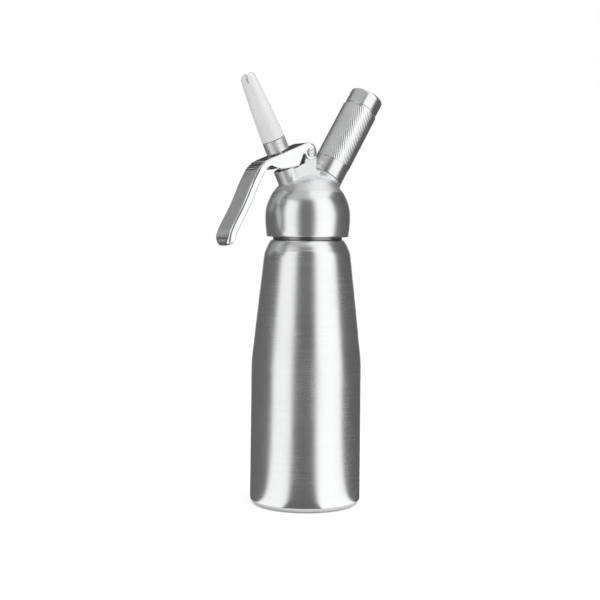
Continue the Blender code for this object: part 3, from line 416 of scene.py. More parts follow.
def colourBetween(tree, value, dark, light):
    node = tree.nodes.new("ShaderNodeMix")
    node.data_type = "RGBA"
    tree.links.new(value, node.inputs["Factor"])
    node.inputs["A"].default_value = (*dark, 1)
    node.inputs["B"].default_value = (*light, 1)
    return node.outputs["Result"]


def addBump(tree, shader, height, strength, distance):
    node = tree.nodes.new("ShaderNodeBump")
    node.inputs["Strength"].default_value = strength
    node.inputs["Distance"].default_value = distance
    tree.links.new(height, node.inputs["Height"])
    tree.links.new(node.outputs["Normal"], shader.inputs["Normal"])


# Stretch the gloss across rings about an axis: their tangent is the axis crossed with the offset from it
def stretchGloss(tree, shader, strength, axis, offset):
    shader.inputs["Anisotropic"].default_value = strength
    cross = vectorMath(tree, "CROSS_PRODUCT", tuple(axis), offset)
    tree.links.new(vectorMath(tree, "NORMALIZE", cross), shader.inputs["Tangent"])


# How fast the noises run, per metre: aside and across an axis, then along it
grain = {"fineRings": (22, 22, 3400), "broadRings": (9, 9, 700), "broadShare": 0.18,
         "cloud": (34, 34, 22), "smudge": (90, 90, 90), "metal": (2200, 2200, 2200),
         "mottle": (60, 60, 60), "skin": (1500, 1500, 1500), "satin": (1600, 1600, 1600),
         "castCloud": (45, 45, 45), "floor": (40, 40, 40)}


# Rings left by a brush: fine ones alone, and mixed with a share of broad ones
def ringPattern(tree, position):
    fine = noise(tree, position, grain["fineRings"], 4)
    broad = noise(tree, position, grain["broadRings"], 3)
    share = grain["broadShare"]
    rings = combined(tree, "ADD", combined(tree, "MULTIPLY", fine, 1 - share),
                     combined(tree, "MULTIPLY", broad, share))
    return fine, rings


# Metal brushed round an axis: fine rings of noise in its colour, roughness and height
def brushedMetal(name, values, place, axis):
    dark, light = values["dark"], values["light"]
    material, tree, shader = newMaterial(name, light, 1.0, values["roughness"])
    position, offset = axisPosition(tree, place, axis)
    fine, rings = ringPattern(tree, position)
    cloud = noise(tree, position, grain["cloud"], 3, 0.4)
    shade = ranged(tree, rings, 0.34, 0.66, 0, 1)
    if values.get("paintedShadeFrom"):  # painted shade: the neck above the shoulder, just under the head's skirt, is darkened in its colour to paint the shade that falls there
        split = tree.nodes.new("ShaderNodeSeparateXYZ")
        tree.links.new(position, split.inputs["Vector"])
        line = values["paintedShadeFrom"] * mm
        # painted shade: from this height up the colour falls towards a third of the dark tone
        paintedShade = ranged(tree, split.outputs["Z"], line, line + 0.0006, 0, 1)
        shade = combined(tree, "SUBTRACT", shade, combined(tree, "MULTIPLY", paintedShade, 9.0))
        tree.links.new(colourBetween(tree, ranged(tree, shade, -9, 1, 0, 1),
                                     tuple(c * 0.3 for c in dark), light), shader.inputs["Base Color"])
    else:
        tree.links.new(colourBetween(tree, shade, dark, light), shader.inputs["Base Color"])
    spread, middle = values["spread"], values["roughness"]
    rough = combined(tree, "ADD", ranged(tree, rings, 0.3, 0.7, middle - spread, middle + spread),
                     ranged(tree, cloud, 0.35, 0.65, -0.025, 0.025))
    tree.links.new(rough, shader.inputs["Roughness"])
    addBump(tree, shader, fine, values["bump"], 0.00003)
    stretchGloss(tree, shader, values["anisotropic"], axis, offset)
    return material


# Turned or polished metal: soft smudges in its roughness, fine grain in its height
def plainMetal(name, values):
    material, tree, shader = newMaterial(name, values["light"], 1.0, values["roughness"])
    source = tree.nodes.new("ShaderNodeTexCoord").outputs["Object"]
    cloud = noise(tree, source, grain["smudge"], 4, 0.6)
    fine = noise(tree, source, grain["metal"], 3)
    shade = ranged(tree, cloud, 0.3, 0.7, 0, 1)
    tree.links.new(colourBetween(tree, shade, values["dark"], values["light"]), shader.inputs["Base Color"])
    spread = values["spread"]
    rough = ranged(tree, cloud, 0.3, 0.7, values["roughness"] - spread, values["roughness"] + spread)
    tree.links.new(rough, shader.inputs["Roughness"])
    addBump(tree, shader, fine, values["bump"], 0.00002)
    return material


# Moulded plastic or rubber: a faint mottling and a fine skin texture
def mouldedMaterial(name, values):
    material, tree, shader = newMaterial(name, values["light"], 0.0, values["roughness"])
    source = tree.nodes.new("ShaderNodeTexCoord").outputs["Object"]
    cloud = noise(tree, source, grain["mottle"], 3, 0.5)
    skin = noise(tree, source, grain["skin"], 3)
    shade = ranged(tree, cloud, 0.3, 0.7, 0, 1)
    tree.links.new(colourBetween(tree, shade, values["dark"], values["light"]), shader.inputs["Base Color"])
    rough = ranged(tree, skin, 0.3, 0.7, values["roughness"] - 0.06, values["roughness"] + 0.06)
    tree.links.new(rough, shader.inputs["Roughness"])
    addBump(tree, shader, skin, values["bump"], 0.00003)
    return material


# Give a piece its material, its body and the CAD node it stands for
def dress(item, material, body, node):
    item.data.materials.clear()
    item.data.materials.append(material)
    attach(item, body)
    if node:
        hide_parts(node)


# Bottle: brushed aluminium shell, spun with a long shoulder and a threaded neck
bottle = {
    "radius": 41.0, "wall": 1.6, "baseRound": 5.0, "straight": 107.0, "shoulder": 89.9,
    "neckRadius": 26.0, "neckWall": 3.0, "neckTop": 211.0,
    "shares": ((0.0, 0.987), (0.06, 0.958), (0.153, 0.893), (0.287, 0.812), (0.42, 0.728), (0.554, 0.642),
               (0.687, 0.552), (0.821, 0.465), (0.888, 0.412), (0.926, 0.33), (0.962, 0.235),
               (0.988, 0.15), (1.0, 0.085)),
    "pitch": 3.0, "ridge": 1.1, "turns": 2.0, "rise": 4.2, "rowStep": 0.16,
    "finish": {"dark": (0.885, 0.89, 0.895), "light": (0.94, 0.945, 0.95), "roughness": 0.24,
               # from the height given last, in mm, the neck is darkened to paint the shade under the head's
               # skirt
               "spread": 0.03, "bump": 0.035, "anisotropic": 0.5, "paintedShadeFrom": 196.3},
}


def makeBottle(values):
    step = values["radius"] - values["neckRadius"]
    neckFoot = values["straight"] + values["shoulder"]
    shoulder = [(values["neckRadius"] + step * share, values["straight"] + values["shoulder"] * rise)
                for rise, share in values["shares"]]
    shoulder = smoothThrough([(values["radius"], values["straight"] - 9.0),
                              (values["radius"] - 0.03, values["straight"] - 4.0)] + shoulder, 8)
    wall, neckInner = values["wall"], values["neckRadius"] - values["neckWall"]
    angles = np.linspace(-math.pi / 2, 0, 11)
    corner, inCorner = [
        np.stack((values["radius"] - values["baseRound"] + size * np.cos(angles),
                  values["baseRound"] + size * np.sin(angles)), 1)
        for size in (values["baseRound"], values["baseRound"] - wall)]
    neckRows = np.arange(neckFoot + 0.2, values["neckTop"] - 0.6, values["rowStep"])
    neck = np.stack((np.full(len(neckRows), values["neckRadius"]), neckRows), 1)
    rim = softened([(values["neckRadius"], neckFoot + 4), (values["neckRadius"], values["neckTop"]),
                    (neckInner, values["neckTop"]), (neckInner, neckFoot + 4)], (0, 0.5, 0.5, 0))[1:-1]
    inShoulder = shoulder[::3][::-1] - (wall, 0)
    inShoulder = inShoulder[inShoulder[:, 0] > neckInner + 0.5]
    straightRows = np.linspace(values["baseRound"] + 4, values["straight"] - 14, 12)
    straight = np.stack((np.full(12, values["radius"]), straightRows), 1)
    outline = np.vstack(([(0.0, 0.0), (20.0, 0.0), (35.0, 0.0)], corner, straight, shoulder,
                         [(values["neckRadius"], neckFoot)], neck, rim,
                         [(neckInner, neckFoot - 1.0)], inShoulder,
                         inCorner[::-1], [(20.0, wall), (0.0, wall)]))
    swell = threadSwell(values["neckRadius"], values["ridge"], values["pitch"],
                        neckFoot + values["rise"], values["turns"])
    return turnedPiece("bottle_shell", outline, 192, np.zeros(3), upright, swell, 40)


bottlePiece = makeBottle(bottle)
bottleMetal = brushedMetal("brushedAluminium", bottle["finish"], (0, 0, 0), upright)
dress(bottlePiece, bottleMetal, "bottle", "bottle")
print("bottle made:", len(bottlePiece.data.polygons), "faces")


# Head: a dome and skirt, a valve boss, a charger boss, a bridge between them and the pivot lug
head = {
    "radius": 31.9, "foot": 199.1, "edgeStep": 1.4, "skirtHeight": 15.4, "finishHeight": 232.6,
    "bossRadius": 9.0, "bossRoot": 13.5, "holderRadius": 13.6, "holderRoot": 6.0,
    "bridgeHalf": 8.9, "bridgeDrop": 1.8, "bridgeEnd": 2.8, "seatDrop": 1.8, "endDrop": 1.2,
    "lugRadius": 4.6, "pivotBore": 2.5,
    "cavityRadius": 27.0, "throatRadius": 24.0, "seatHeight": 213.4, "skirtBore": 27.6,
    "threadOffset": 1.5, "threadRidge": 0.55,
    # Steps of the valve's well and of the charger's hole: radius, and from and to along their axes
    "valveWell": ((6.5, -8.5, 9), (5.5, -10.9, 9), (3.8, -14, 9), (7.2, -21.2, -13.2)),
    "chargerHole": ((6.3, -9, 9), (9.5, -13.6, -6.6)),
    "fillet": 1.6, "bossFillet": 0.8, "seatFillet": 1.0, "edge": 0.5, "cell": 0.62,
    "finish": {"dark": (0.885, 0.89, 0.895), "light": (0.94, 0.945, 0.95), "anisotropic": 0.4},
}


# Seen from the side: from the valve boss up to the lug, round it, and down to the charger's seat
def bridgeOutline(values):
    tilt = math.atan2(-nozzleAxis[0], nozzleAxis[2])
    face = nozzlePlace - nozzleAxis * values["bridgeDrop"]
    slope = math.tan(tilt)
    reach = values["lugRadius"] / math.cos(tilt)
    right = min(pivotPlace[0] + reach, values["bridgeEnd"] - values["endDrop"])
    left = pivotPlace[0] - reach
    angles = np.linspace(math.pi + tilt, tilt, 25)
    lug = [(pivotPlace[0] + values["lugRadius"] * math.cos(a),
            pivotPlace[2] + values["lugRadius"] * math.sin(a)) for a in angles]

    def top(x):
        return face[2] + (x - face[0]) * slope

    end = values["bridgeEnd"]
    fall = math.tan(math.atan2(holderAxis[0], holderAxis[2]))
    seat = holderPlace[2] + (holderPlace[0] - end) * fall
    return ([(face[0], face[2]), (left, top(left))] + lug + [
        (right, top(right)), (end, top(end) - values["endDrop"]), (end, seat - values["seatDrop"]),
        (holderPlace[0], holderPlace[2] - values["seatDrop"]), (holderPlace[0], domeMiddle),
        (face[0], domeMiddle)])


bridgeLine = bridgeOutline(head)


# Dome, bosses, bridge and lug joined with fillets, less the cavity and the bores
def headField(x, y, z):
    values = head
    out = np.sqrt(x * x + y * y)
    fall = np.clip((domeMiddle - z) / values["skirtHeight"], 0, 1.3)
    skirt = out - (values["radius"] - values["edgeStep"] * fall ** 2)
    ball = np.sqrt(out ** 2 + np.maximum(z - domeMiddle, 0) ** 2) - values["radius"]
    body = np.where(z > domeMiddle, ball, skirt)
    valveUp, valveOut = along(x, y, z, nozzlePlace, nozzleAxis)
    chargerUp, chargerOut = along(x, y, z, holderPlace, holderAxis)
    boss = capped(valveOut, valveUp, values["bossRadius"], -values["bossRoot"], 0, 0.8)
    seat = capped(chargerOut, chargerUp, values["holderRadius"], -values["holderRoot"], 0, 0.7)
    bridge = roundMax(outlineDistance(x, z, bridgeLine), np.abs(y) - values["bridgeHalf"],
                      values["fillet"])
    raised = roundMin(roundMin(bridge, boss, values["bossFillet"]), seat, values["seatFillet"])
    body = roundMin(body, raised, values["fillet"])
    body = roundMax(body, values["foot"] - z, 1.0)
    ballIn = np.sqrt(out ** 2 + (z - domeMiddle) ** 2) - values["cavityRadius"]
    above = np.maximum(np.maximum(ballIn, out - values["throatRadius"]), values["seatHeight"] - z)
    below = np.maximum(out - values["skirtBore"], z - values["seatHeight"])
    cavity = np.minimum(above, below)
    well = steppedBore(valveOut, valveUp, values["valveWell"])
    hole = steppedBore(chargerOut, chargerUp, values["chargerHole"])
    pin = np.sqrt((x - pivotPlace[0]) ** 2 + (z - pivotPlace[2]) ** 2) - values["pivotBore"]
    for opening in (cavity, well, hole, pin):
        body = roundMax(body, -opening, values["edge"])
    turn = np.arctan2(y, x) / (2 * math.pi)
    threadFoot = bottle["straight"] + bottle["shoulder"] + bottle["rise"] + values["threadOffset"]
    climb = (z - threadFoot) / bottle["pitch"] - turn
    whole = np.clip(np.round(climb), 0, 1)
    ridge = np.sqrt((out - values["skirtBore"]) ** 2 + ((climb - whole) * bottle["pitch"]) ** 2)
    return roundMin(body, ridge - values["threadRidge"], 0.3)


# Brushed in rings below the finish line and satin above it, where the tool could not follow the bosses
def satinHead(name, values, edge):
    material, tree, shader = newMaterial(name, values["light"], 1.0, 0.3)
    position, offset = axisPosition(tree, (0, 0, 0), upright)
    rings = ringPattern(tree, position)[1]
    satin = noise(tree, position, grain["satin"], 3)
    cloud = noise(tree, position, grain["castCloud"], 3, 0.6)
    split = tree.nodes.new("ShaderNodeSeparateXYZ")
    tree.links.new(position, split.inputs["Vector"])
    line, blur = edge * mm, 0.15 * mm
    above = ranged(tree, split.outputs["Z"], line - blur, line + blur, 0, 1)
    pattern = tree.nodes.new("ShaderNodeMix")
    pattern.data_type = "FLOAT"
    tree.links.new(above, pattern.inputs["Factor"])
    tree.links.new(rings, pattern.inputs["A"])
    tree.links.new(satin, pattern.inputs["B"])
    mixed = pattern.outputs["Result"]
    shade = ranged(tree, mixed, 0.34, 0.66, 0, 1)
    tree.links.new(colourBetween(tree, shade, values["dark"], values["light"]), shader.inputs["Base Color"])
    rough = combined(tree, "ADD", ranged(tree, above, 0, 1, 0.25, 0.4),
                     ranged(tree, combined(tree, "MULTIPLY", mixed, cloud), 0.1, 0.4, -0.02, 0.02))
    tree.links.new(rough, shader.inputs["Roughness"])
    addBump(tree, shader, mixed, 0.07, 0.00003)
    stretchGloss(tree, shader, values["anisotropic"], upright, offset)
    return material


headPiece = carved("head_casting", headField, (-33.5, -33.5, 198.0), (33.5, 33.5, 268.5), head["cell"])
dress(headPiece, satinHead("satinAluminium", head["finish"], head["finishHeight"]),
      "head", "head")
print("head made:", len(headPiece.data.polygons), "faces")


# Head gasket: a flat silicone ring with rounded edges
gasket = {"inner": 22.9, "outer": 26.3, "low": 211.3, "high": 213.1}
gasketLine = softened([(gasket["inner"], gasket["high"]), (gasket["inner"], gasket["low"]),
                       (gasket["outer"], gasket["low"]), (gasket["outer"], gasket["high"])], (0.4,) * 4)
gasketPiece = turnedPiece("head_seal", gasketLine, 128, np.zeros(3), upright)
paleRubber = mouldedMaterial("paleSilicone", {"dark": (0.56, 0.56, 0.54), "light": (0.66, 0.66, 0.64),
                                              "roughness": 0.55, "bump": 0.2})
dress(gasketPiece, paleRubber, "gasket", "head_gasket")


# Lever: one pressed and plated channel, from the ears over the valve and down to the handle's toe
lever = {
    "halfWidth": 11.0, "sheet": 1.5, "reach": 69.0, "drop": 69.6, "earRadius": 5.5,
    "flange": 5.6, "faceHeight": 12.3, "tilt": math.radians(23), "boreRadius": 2.5,
    "edgeRound": 2.6, "toeRound": 8.5, "cell": 0.48,
    "handle": ((0.6, 0.147), (0.639, 0.186), (0.672, 0.243), (0.719, 0.33), (0.757, 0.414),
               (0.795, 0.5), (0.86, 0.63), (0.917, 0.73), (0.965, 0.82), (0.99, 0.885), (1.0, 0.945)),
    "skirt": ((0.546, 0.196), (0.518, 0.171), (0.49, 0.162), (0.452, 0.171), (0.417, 0.183),
              (0.364, 0.19), (0.293, 0.181)),
    "skirtEnd": (10.2, 10.3),
    # Side view in millimetres: the ear's front and top edge, and the hook behind the pivot
    "ear": ((1.5, 250.0), (1.6, 258.0), (1.6, 262.0), (1.2, 264.2), (0.2, 266.3), (-1.4, 268.0),
            (-3.6, 269.1), (-6.0, 269.3)),
    "hook": ((-10.7, 260.2), (-10.2, 260.65), (-9.5, 260.6)),
    "plate": (-9.0, -18.0, -30.0),
    # The flange's end at the toe: along the handle and in from its face
    "curl": ((1.5, 1.6), (0.3, 2.4), (-0.9, 3.9), (-2.4, 5.2), (-4.4, 6.0)), "curlFrom": -6.5,
    "toeLength": 0.055, "slotRadius": 4.2, "slotReach": (-3.0, 1.1), "slotSpan": (6, 18),
    "finish": {"dark": (0.86, 0.865, 0.875), "light": (0.92, 0.925, 0.935), "roughness": 0.075,
               "spread": 0.025, "bump": 0.02},
}


# The outer face from the side: straight over the valve, a smooth bend, then the bowed handle
def leverPath(values):
    face = nozzlePlace + nozzleAxis * values["faceHeight"]
    slope = math.tan(values["tilt"])

    def plateHeight(x):
        return face[2] + (x - face[0]) * slope

    far = pivotPlace[0] - 0.55 * values["reach"]
    plate = [(x, plateHeight(x)) for x in (*values["plate"], far)]
    handle = [(pivotPlace[0] - values["reach"] * a, pivotPlace[2] - values["drop"] * b)
              for a, b in values["handle"]]
    heel, before = np.array(handle[-1]), np.array(handle[-2])
    run = (heel - before) / np.linalg.norm(heel - before)
    inward = np.array((-run[1], run[0]))
    toe = heel + run * values["drop"] * values["toeLength"]
    curve = smoothThrough([*values["ear"], *plate, *handle], 6)
    return curve, toe, run, inward


# Each point moved along the mean normal of its two runs
def offsetLine(line, distance):
    line = np.array(line, float)
    before = np.vstack((line[:1], line[:-1]))
    after = np.vstack((line[1:], line[-1:]))
    run = after - before
    run /= np.linalg.norm(run, axis=1, keepdims=True)
    return line + np.stack((-run[:, 1], run[:, 0]), 1) * distance


leverCurve, leverToe, leverRun, leverInward = leverPath(lever)
faceLine = np.vstack((leverCurve, [leverToe + leverRun * 30]))
# The face line closed far inside, so the side of it that holds the metal is known
faceLoop = np.vstack((faceLine, [leverToe + leverRun * 30 + leverInward * 60], [(1.5, 160)]))


# The flanges' lower edge: along the handle, round the notch under the bend and up to the ears
def leverSkirt(values):
    # The curve has six points a run: the ear's, the plate's and the bend's runs come before the handle
    curve = leverCurve[6 * (len(values["ear"]) + len(values["plate"]) + 2):]
    lower = offsetLine(curve, values["flange"])[::-1]
    skirt = [(pivotPlace[0] - values["reach"] * a, pivotPlace[2] - values["drop"] * b)
             for a, b in values["skirt"]]
    skirt.append((pivotPlace[0] - values["skirtEnd"][0], pivotPlace[2] - values["skirtEnd"][1]))
    knee = smoothThrough([tuple(lower[-1])] + skirt, 5)
    radius = values["earRadius"]
    ear = [(pivotPlace[0] + radius * math.cos(a), pivotPlace[2] + radius * math.sin(a))
           for a in np.radians(np.linspace(200, 350, 25))]
    # Once past the ear the loop goes far round outside, to close behind the face
    past = [(8.0, 262.0), (8.0, 300.0), (-120.0, 300.0), (-120.0, 150.0)]
    foot = [tuple(leverToe + leverRun * 40 + leverInward * 1.6)]
    curl = [tuple(leverToe + leverRun * onward + leverInward * deep)
            for onward, deep in values["curl"]]
    lower = lower[(lower - leverToe) @ leverRun < values["curlFrom"]]
    return np.vstack((foot, smoothThrough(curl, 4), lower, knee[1:], values["hook"], ear, past))


skirtLoop = leverSkirt(lever)


# Behind the outer face and inside the width, with rounded corners, less the channel, the slot and the bore
def leverField(x, y, z):
    values = lever
    far = lineDistance(x, z, faceLine)
    depth = np.where(insideLine(x, z, faceLoop), -far, far)
    past = (x - leverToe[0]) * leverRun[0] + (z - leverToe[1]) * leverRun[1]
    bend = values["toeRound"]
    beside = np.abs(y) - values["halfWidth"]
    plan = (np.sqrt(np.maximum(past + bend, 0) ** 2 + np.maximum(beside + bend, 0) ** 2) - bend
            + np.minimum(np.maximum(past, beside) + bend, 0))
    plan = np.where(past > -bend, plan, beside)
    outer = roundMax(depth, plan, values["edgeRound"])
    hollow = roundMax(depth + values["sheet"], plan + values["sheet"], 1.4)
    shell = roundMax(outer, -hollow, 0.35)
    shell = roundMax(shell, outlineDistance(x, z, skirtLoop), 0.7)
    bore = np.sqrt((x - pivotPlace[0]) ** 2 + (z - pivotPlace[2]) ** 2) - values["boreRadius"]
    shell = roundMax(shell, -bore, 0.4)
    height, out = along(x, y, z, nozzlePlace, nozzleAxis)
    side = basis(nozzleAxis)[0]
    aside = (x - nozzlePlace[0]) * side[0] + (z - nozzlePlace[2]) * side[2]
    aside = np.abs(np.clip(aside, *values["slotReach"]) - aside)
    slot = np.sqrt(aside ** 2 + y ** 2) - values["slotRadius"]
    low, high = values["slotSpan"]
    slot = np.maximum(slot, np.maximum(low - height, height - high))
    return roundMax(shell, -slot, 0.5)


leverPiece = carved("squeeze_lever", leverField, (-75.5, -12.0, 188.0), (3.2, 12.0, 272.5), lever["cell"])
leverMetal = plainMetal("leverChrome", lever["finish"])
dress(leverPiece, leverMetal, "lever", "lever")
print("lever made:", len(leverPiece.data.polygons), "faces")


# Decorating tip: a tapered plastic tube with a round slotted end and a threaded socket
tip = {
    "foot": 23.1, "top": 75.5, "baseRadius": 8.6, "bulge": 0.42, "endRadius": 5.5, "endRound": 4.6,
    "mouth": 2.6, "socket": 7.0, "socketTop": 31.8, "slotHalf": 0.5, "slotOpen": 0.17, "slotDepth": 7.0,
    "bore": (6.0, 3.7), "boreTaperEnd": 8.8, "boreEnd": 7.0, "ringInset": 0.38,
    "threadFoot": 25.6, "pitch": 2.0, "ridge": 0.35, "cell": 0.34,
    "finish": {"dark": (0.86, 0.86, 0.86), "light": (0.9, 0.9, 0.9), "roughness": 0.34, "bump": 0.06},
}


# A cone that ends in a dome, less its socket, its bore and the slots across its end
def tipField(x, y, z):
    values = tip
    out = np.sqrt(x * x + y * y)
    share = np.clip((z - values["foot"]) / (values["top"] - values["foot"]), -0.2, 1.2)
    swollen = values["bulge"] * 4 * np.clip(share, 0, 1) * (1 - np.clip(share, 0, 1))
    cone = out - (values["baseRadius"] + (values["endRadius"] - values["baseRadius"]) * share + swollen)
    domeFoot = values["top"] - values["endRound"]
    ring = values["endRadius"] - values["endRound"] + values["ringInset"]
    dome = np.sqrt(np.maximum(out - ring, 0) ** 2 + np.maximum(z - domeFoot, 0) ** 2) - values["endRound"]
    body = roundMax(np.where(z > domeFoot, dome, cone), values["foot"] - z, 0.5)
    socket = np.maximum(out - values["socket"], z - values["socketTop"])
    low, high = values["bore"]
    taperLength = values["top"] - values["boreTaperEnd"] - values["socketTop"]
    taper = np.clip((z - values["socketTop"]) / taperLength, 0, 1)
    bore = out - (low + (high - low) * taper)
    bore = np.maximum(bore, z - (values["top"] - values["boreEnd"]))
    mouth = out - values["mouth"]
    body = roundMax(body, -np.minimum(np.minimum(socket, bore), mouth), 0.3)
    turn = np.arctan2(y, x)
    sector = np.round((turn - math.pi / 4) / (math.pi / 2)) * math.pi / 2 + math.pi / 4
    across = np.abs(out * np.sin(turn - sector))
    floor = values["top"] - values["slotDepth"]
    widen = values["slotOpen"] * np.maximum(z - floor - values["slotHalf"], 0)
    slot = (np.sqrt(across ** 2 + np.minimum(z - floor - values["slotHalf"], 0) ** 2)
            - values["slotHalf"] - widen)
    body = roundMax(body, -slot, 0.35)
    climb = (z - values["threadFoot"]) / values["pitch"] - turn / (2 * math.pi)
    whole = np.clip(np.round(climb), 0, 1)
    ridge = np.sqrt((out - values["socket"]) ** 2 + ((climb - whole) * values["pitch"]) ** 2)
    return roundMin(body, ridge - values["ridge"], 0.2)


tipPiece = carved("star_tip", tipField, (-9.0, -9.0, 22.4), (9.0, 9.0, 76.4), tip["cell"],
                  nozzlePlace, nozzleAxis)
dress(tipPiece, mouldedMaterial("whitePlastic", tip["finish"]), "tip", "decorating_tip")
print("tip made:", len(tipPiece.data.polygons), "faces")


# Nozzle adapter: a knurled collar on the stem, with the stud that takes the tip
adapter = {"edge": 13.7, "foot": 13.1, "top": 22.8, "radius": 8.7, "hub": 4.6, "stud": 6.0,
           "studTop": 30.0, "bore": 2.6, "stemHole": 3.8, "stemDepth": 7.7, "knurls": 64,
           "knurlDepth": 0.13, "thread": {"ridge": 0.7, "pitch": 2.0, "rise": 1.8, "turns": 2.0},
           "finish": {"dark": (0.82, 0.82, 0.825), "light": (0.95, 0.95, 0.955), "roughness": 0.42,
                      "spread": 0.06, "bump": 0.2}}


def makeAdapter(values):
    corners = [(values["stemHole"], values["foot"]), (values["hub"], values["foot"]),
               (values["radius"], values["edge"]), (values["radius"], values["top"]),
               (values["stud"], values["top"]), (values["stud"], values["studTop"]),
               (values["bore"], values["studTop"]),
               (values["bore"], values["foot"] + values["stemDepth"]),
               (values["stemHole"], values["foot"] + values["stemDepth"])]
    line = softened(corners, (0.15, 0.1, 0.35, 0.5, 0, 0.4, 0.3, 0, 0))
    dense = []
    for start, end in zip(line, np.roll(line, -1, 0)):
        outer = start[0] > values["radius"] - 0.1 and end[0] > values["radius"] - 0.1
        wide = outer or max(abs(start[0] - values["stud"]), abs(end[0] - values["stud"])) < 0.01
        count = max(1, int(np.linalg.norm(end - start) / 0.22)) if wide else 1
        dense.extend(start + (end - start) * step / count for step in range(count))
    thread = values["thread"]
    ridges = threadSwell(values["stud"], thread["ridge"], thread["pitch"],
                         values["top"] + thread["rise"], thread["turns"])

    # Diamond knurl on the collar: the larger of two crossed sets of ridges, faded at its rims
    def swell(turn, height, base):
        lean = (height - values["edge"]) * values["knurls"] / values["radius"]
        one = np.abs(((turn * values["knurls"] + lean) / (2 * math.pi)) % 1 - 0.5) * 2
        other = np.abs(((turn * values["knurls"] - lean) / (2 * math.pi)) % 1 - 0.5) * 2
        fade = np.clip(np.minimum(height - values["edge"] - 0.7, values["top"] - 0.7 - height) * 2, 0, 1)
        groove = np.clip((np.maximum(one, other) - 0.55) / 0.45, 0, 1)
        cut = values["knurlDepth"] * groove * fade * (base > values["radius"] - 0.01)
        return ridges(turn, height, base) - cut

    return turnedPiece("nozzle_collar", np.array(dense), values["knurls"] * 6, nozzlePlace, nozzleAxis,
                       swell, 50)


adapterPiece = makeAdapter(adapter)
adapterMetal = plainMetal("matteCollar", adapter["finish"])
dress(adapterPiece, adapterMetal, "stem", "nozzle_adapter")
print("nozzle collar made:", len(adapterPiece.data.polygons), "faces")


# Valve stem, thrust collar and return spring under the lever's plate
steel = {"dark": (0.72, 0.725, 0.735), "light": (0.86, 0.865, 0.875), "roughness": 0.24,
         "spread": 0.05, "bump": 0.08}
platedSteel = plainMetal("platedSteel", steel)
stem = {"radius": 3.5, "bore": 2.3, "floor": -12.75, "low": -20.5, "top": 20.0}
stemLine = softened([(0.0, stem["floor"]), (stem["bore"], stem["floor"]), (stem["bore"], stem["top"]),
                     (stem["radius"], stem["top"]), (stem["radius"], stem["low"]), (0.0, stem["low"])],
                    (0, 0.3, 0.2, 0.3, 0.4, 0))
stemPiece = turnedPiece("valve_stem", stemLine[::-1], 64, nozzlePlace, nozzleAxis, None, 45)
dress(stemPiece, platedSteel, "stem", "dispensing_stem")

thrust = {"inner": 3.8, "crown": 4.5, "outer": 6.5, "low": 7.897, "top": 10.497}
thrustLine = softened([(thrust["inner"], thrust["top"]), (thrust["inner"], thrust["low"]),
                       (thrust["outer"], thrust["low"]), (thrust["outer"], thrust["top"] - 0.8),
                       (5.5, thrust["top"] - 0.32), (thrust["crown"], thrust["top"])],
                      (0.2, 0.2, 0.3, 0.3, 0.8, 0.4))
thrustPiece = turnedPiece("crowned_collar", thrustLine, 96, nozzlePlace, nozzleAxis)
dress(thrustPiece, platedSteel, "stem", "thrust_collar")

spring = {"wire": 0.52, "coil": 5.25, "turns": 5.5, "low": -5.08, "high": 7.077, "travel": 3.85}


# A round wire carried along a helix: coil cos a, coil sin a, rising one pitch a turn, with round ends
def makeSpring(values):
    count = int(values["turns"] * 48) + 1
    turn = np.linspace(0, values["turns"] * 2 * math.pi, count)
    height = np.linspace(values["low"], values["high"], count)
    line = np.stack((values["coil"] * np.cos(turn), values["coil"] * np.sin(turn), height), 1)
    ahead = np.gradient(line, axis=0)
    ahead /= np.linalg.norm(ahead, axis=1, keepdims=True)
    outward = np.stack((np.cos(turn), np.sin(turn), np.zeros(count)), 1)
    upwards = np.cross(ahead, outward)
    taper = np.ones(count)
    taper[0] = taper[-1] = 0.0
    around = np.arange(12) * 2 * math.pi / 12
    ring = (outward[:, None] * np.cos(around)[None, :, None]
            + upwards[:, None] * np.sin(around)[None, :, None])
    points = line[:, None] + ring * values["wire"] * taper[:, None, None]
    index = np.arange(count * 12).reshape(count, 12)
    faces = np.stack((index[:-1], np.roll(index[:-1], -1, 1), np.roll(index[1:], -1, 1), index[1:]), -1)
    points = placed(points.reshape(-1, 3), nozzlePlace, nozzleAxis)
    item = makePiece("coil_spring", points, faces.reshape(-1, 4))
    tidyMesh(item)
    return item


springPiece = makeSpring(spring)
dress(springPiece, platedSteel, "stem", "return_spring")
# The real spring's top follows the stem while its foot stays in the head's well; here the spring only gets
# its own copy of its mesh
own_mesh(springPiece)
print("stem, collar and spring made")


# Pivot: a cross-slotted screw through the ears and the lug, and its domed nut
pivotParts = {"face": 11.3, "headRadius": 3.7, "headThickness": 1.6, "shaft": 2.2, "reach": 1.2,
              "crossHalf": 0.6, "crossReach": 2.4, "crossDepth": 1.1, "crownRadius": 9.0,
              "nutBore": 2.5, "nutDepth": 1.5, "nutTop": 14.3, "nutCrown": 2.2, "nutEdge": 13.3,
              "cell": 0.2}


# A domed head on a shaft along local Z, less two crossed slots that taper inwards
def screwField(x, y, z):
    values = pivotParts
    out = np.sqrt(x * x + y * y)
    crown = values["face"] + values["headThickness"]
    ball = np.sqrt(out ** 2 + (z - (crown - values["crownRadius"])) ** 2) - values["crownRadius"]
    capHead = roundMax(roundMax(ball, out - values["headRadius"], 0.5), values["face"] - z, 0.2)
    shaft = np.maximum(out - values["shaft"], np.maximum(-values["face"] - values["reach"] - z, z - 12))
    body = np.minimum(capHead, shaft)
    one, other = np.abs(x + y) / math.sqrt(2), np.abs(x - y) / math.sqrt(2)
    sink = np.clip(crown - z, 0, values["crossDepth"])
    slots = []
    for across, lengthways in ((one, other), (other, one)):
        slots.append(np.maximum(np.maximum(across - values["crossHalf"],
                                           lengthways - values["crossReach"] + 0.7 * sink),
                                crown - values["crossDepth"] - z))
    return roundMax(body, -np.minimum(*slots), 0.25)


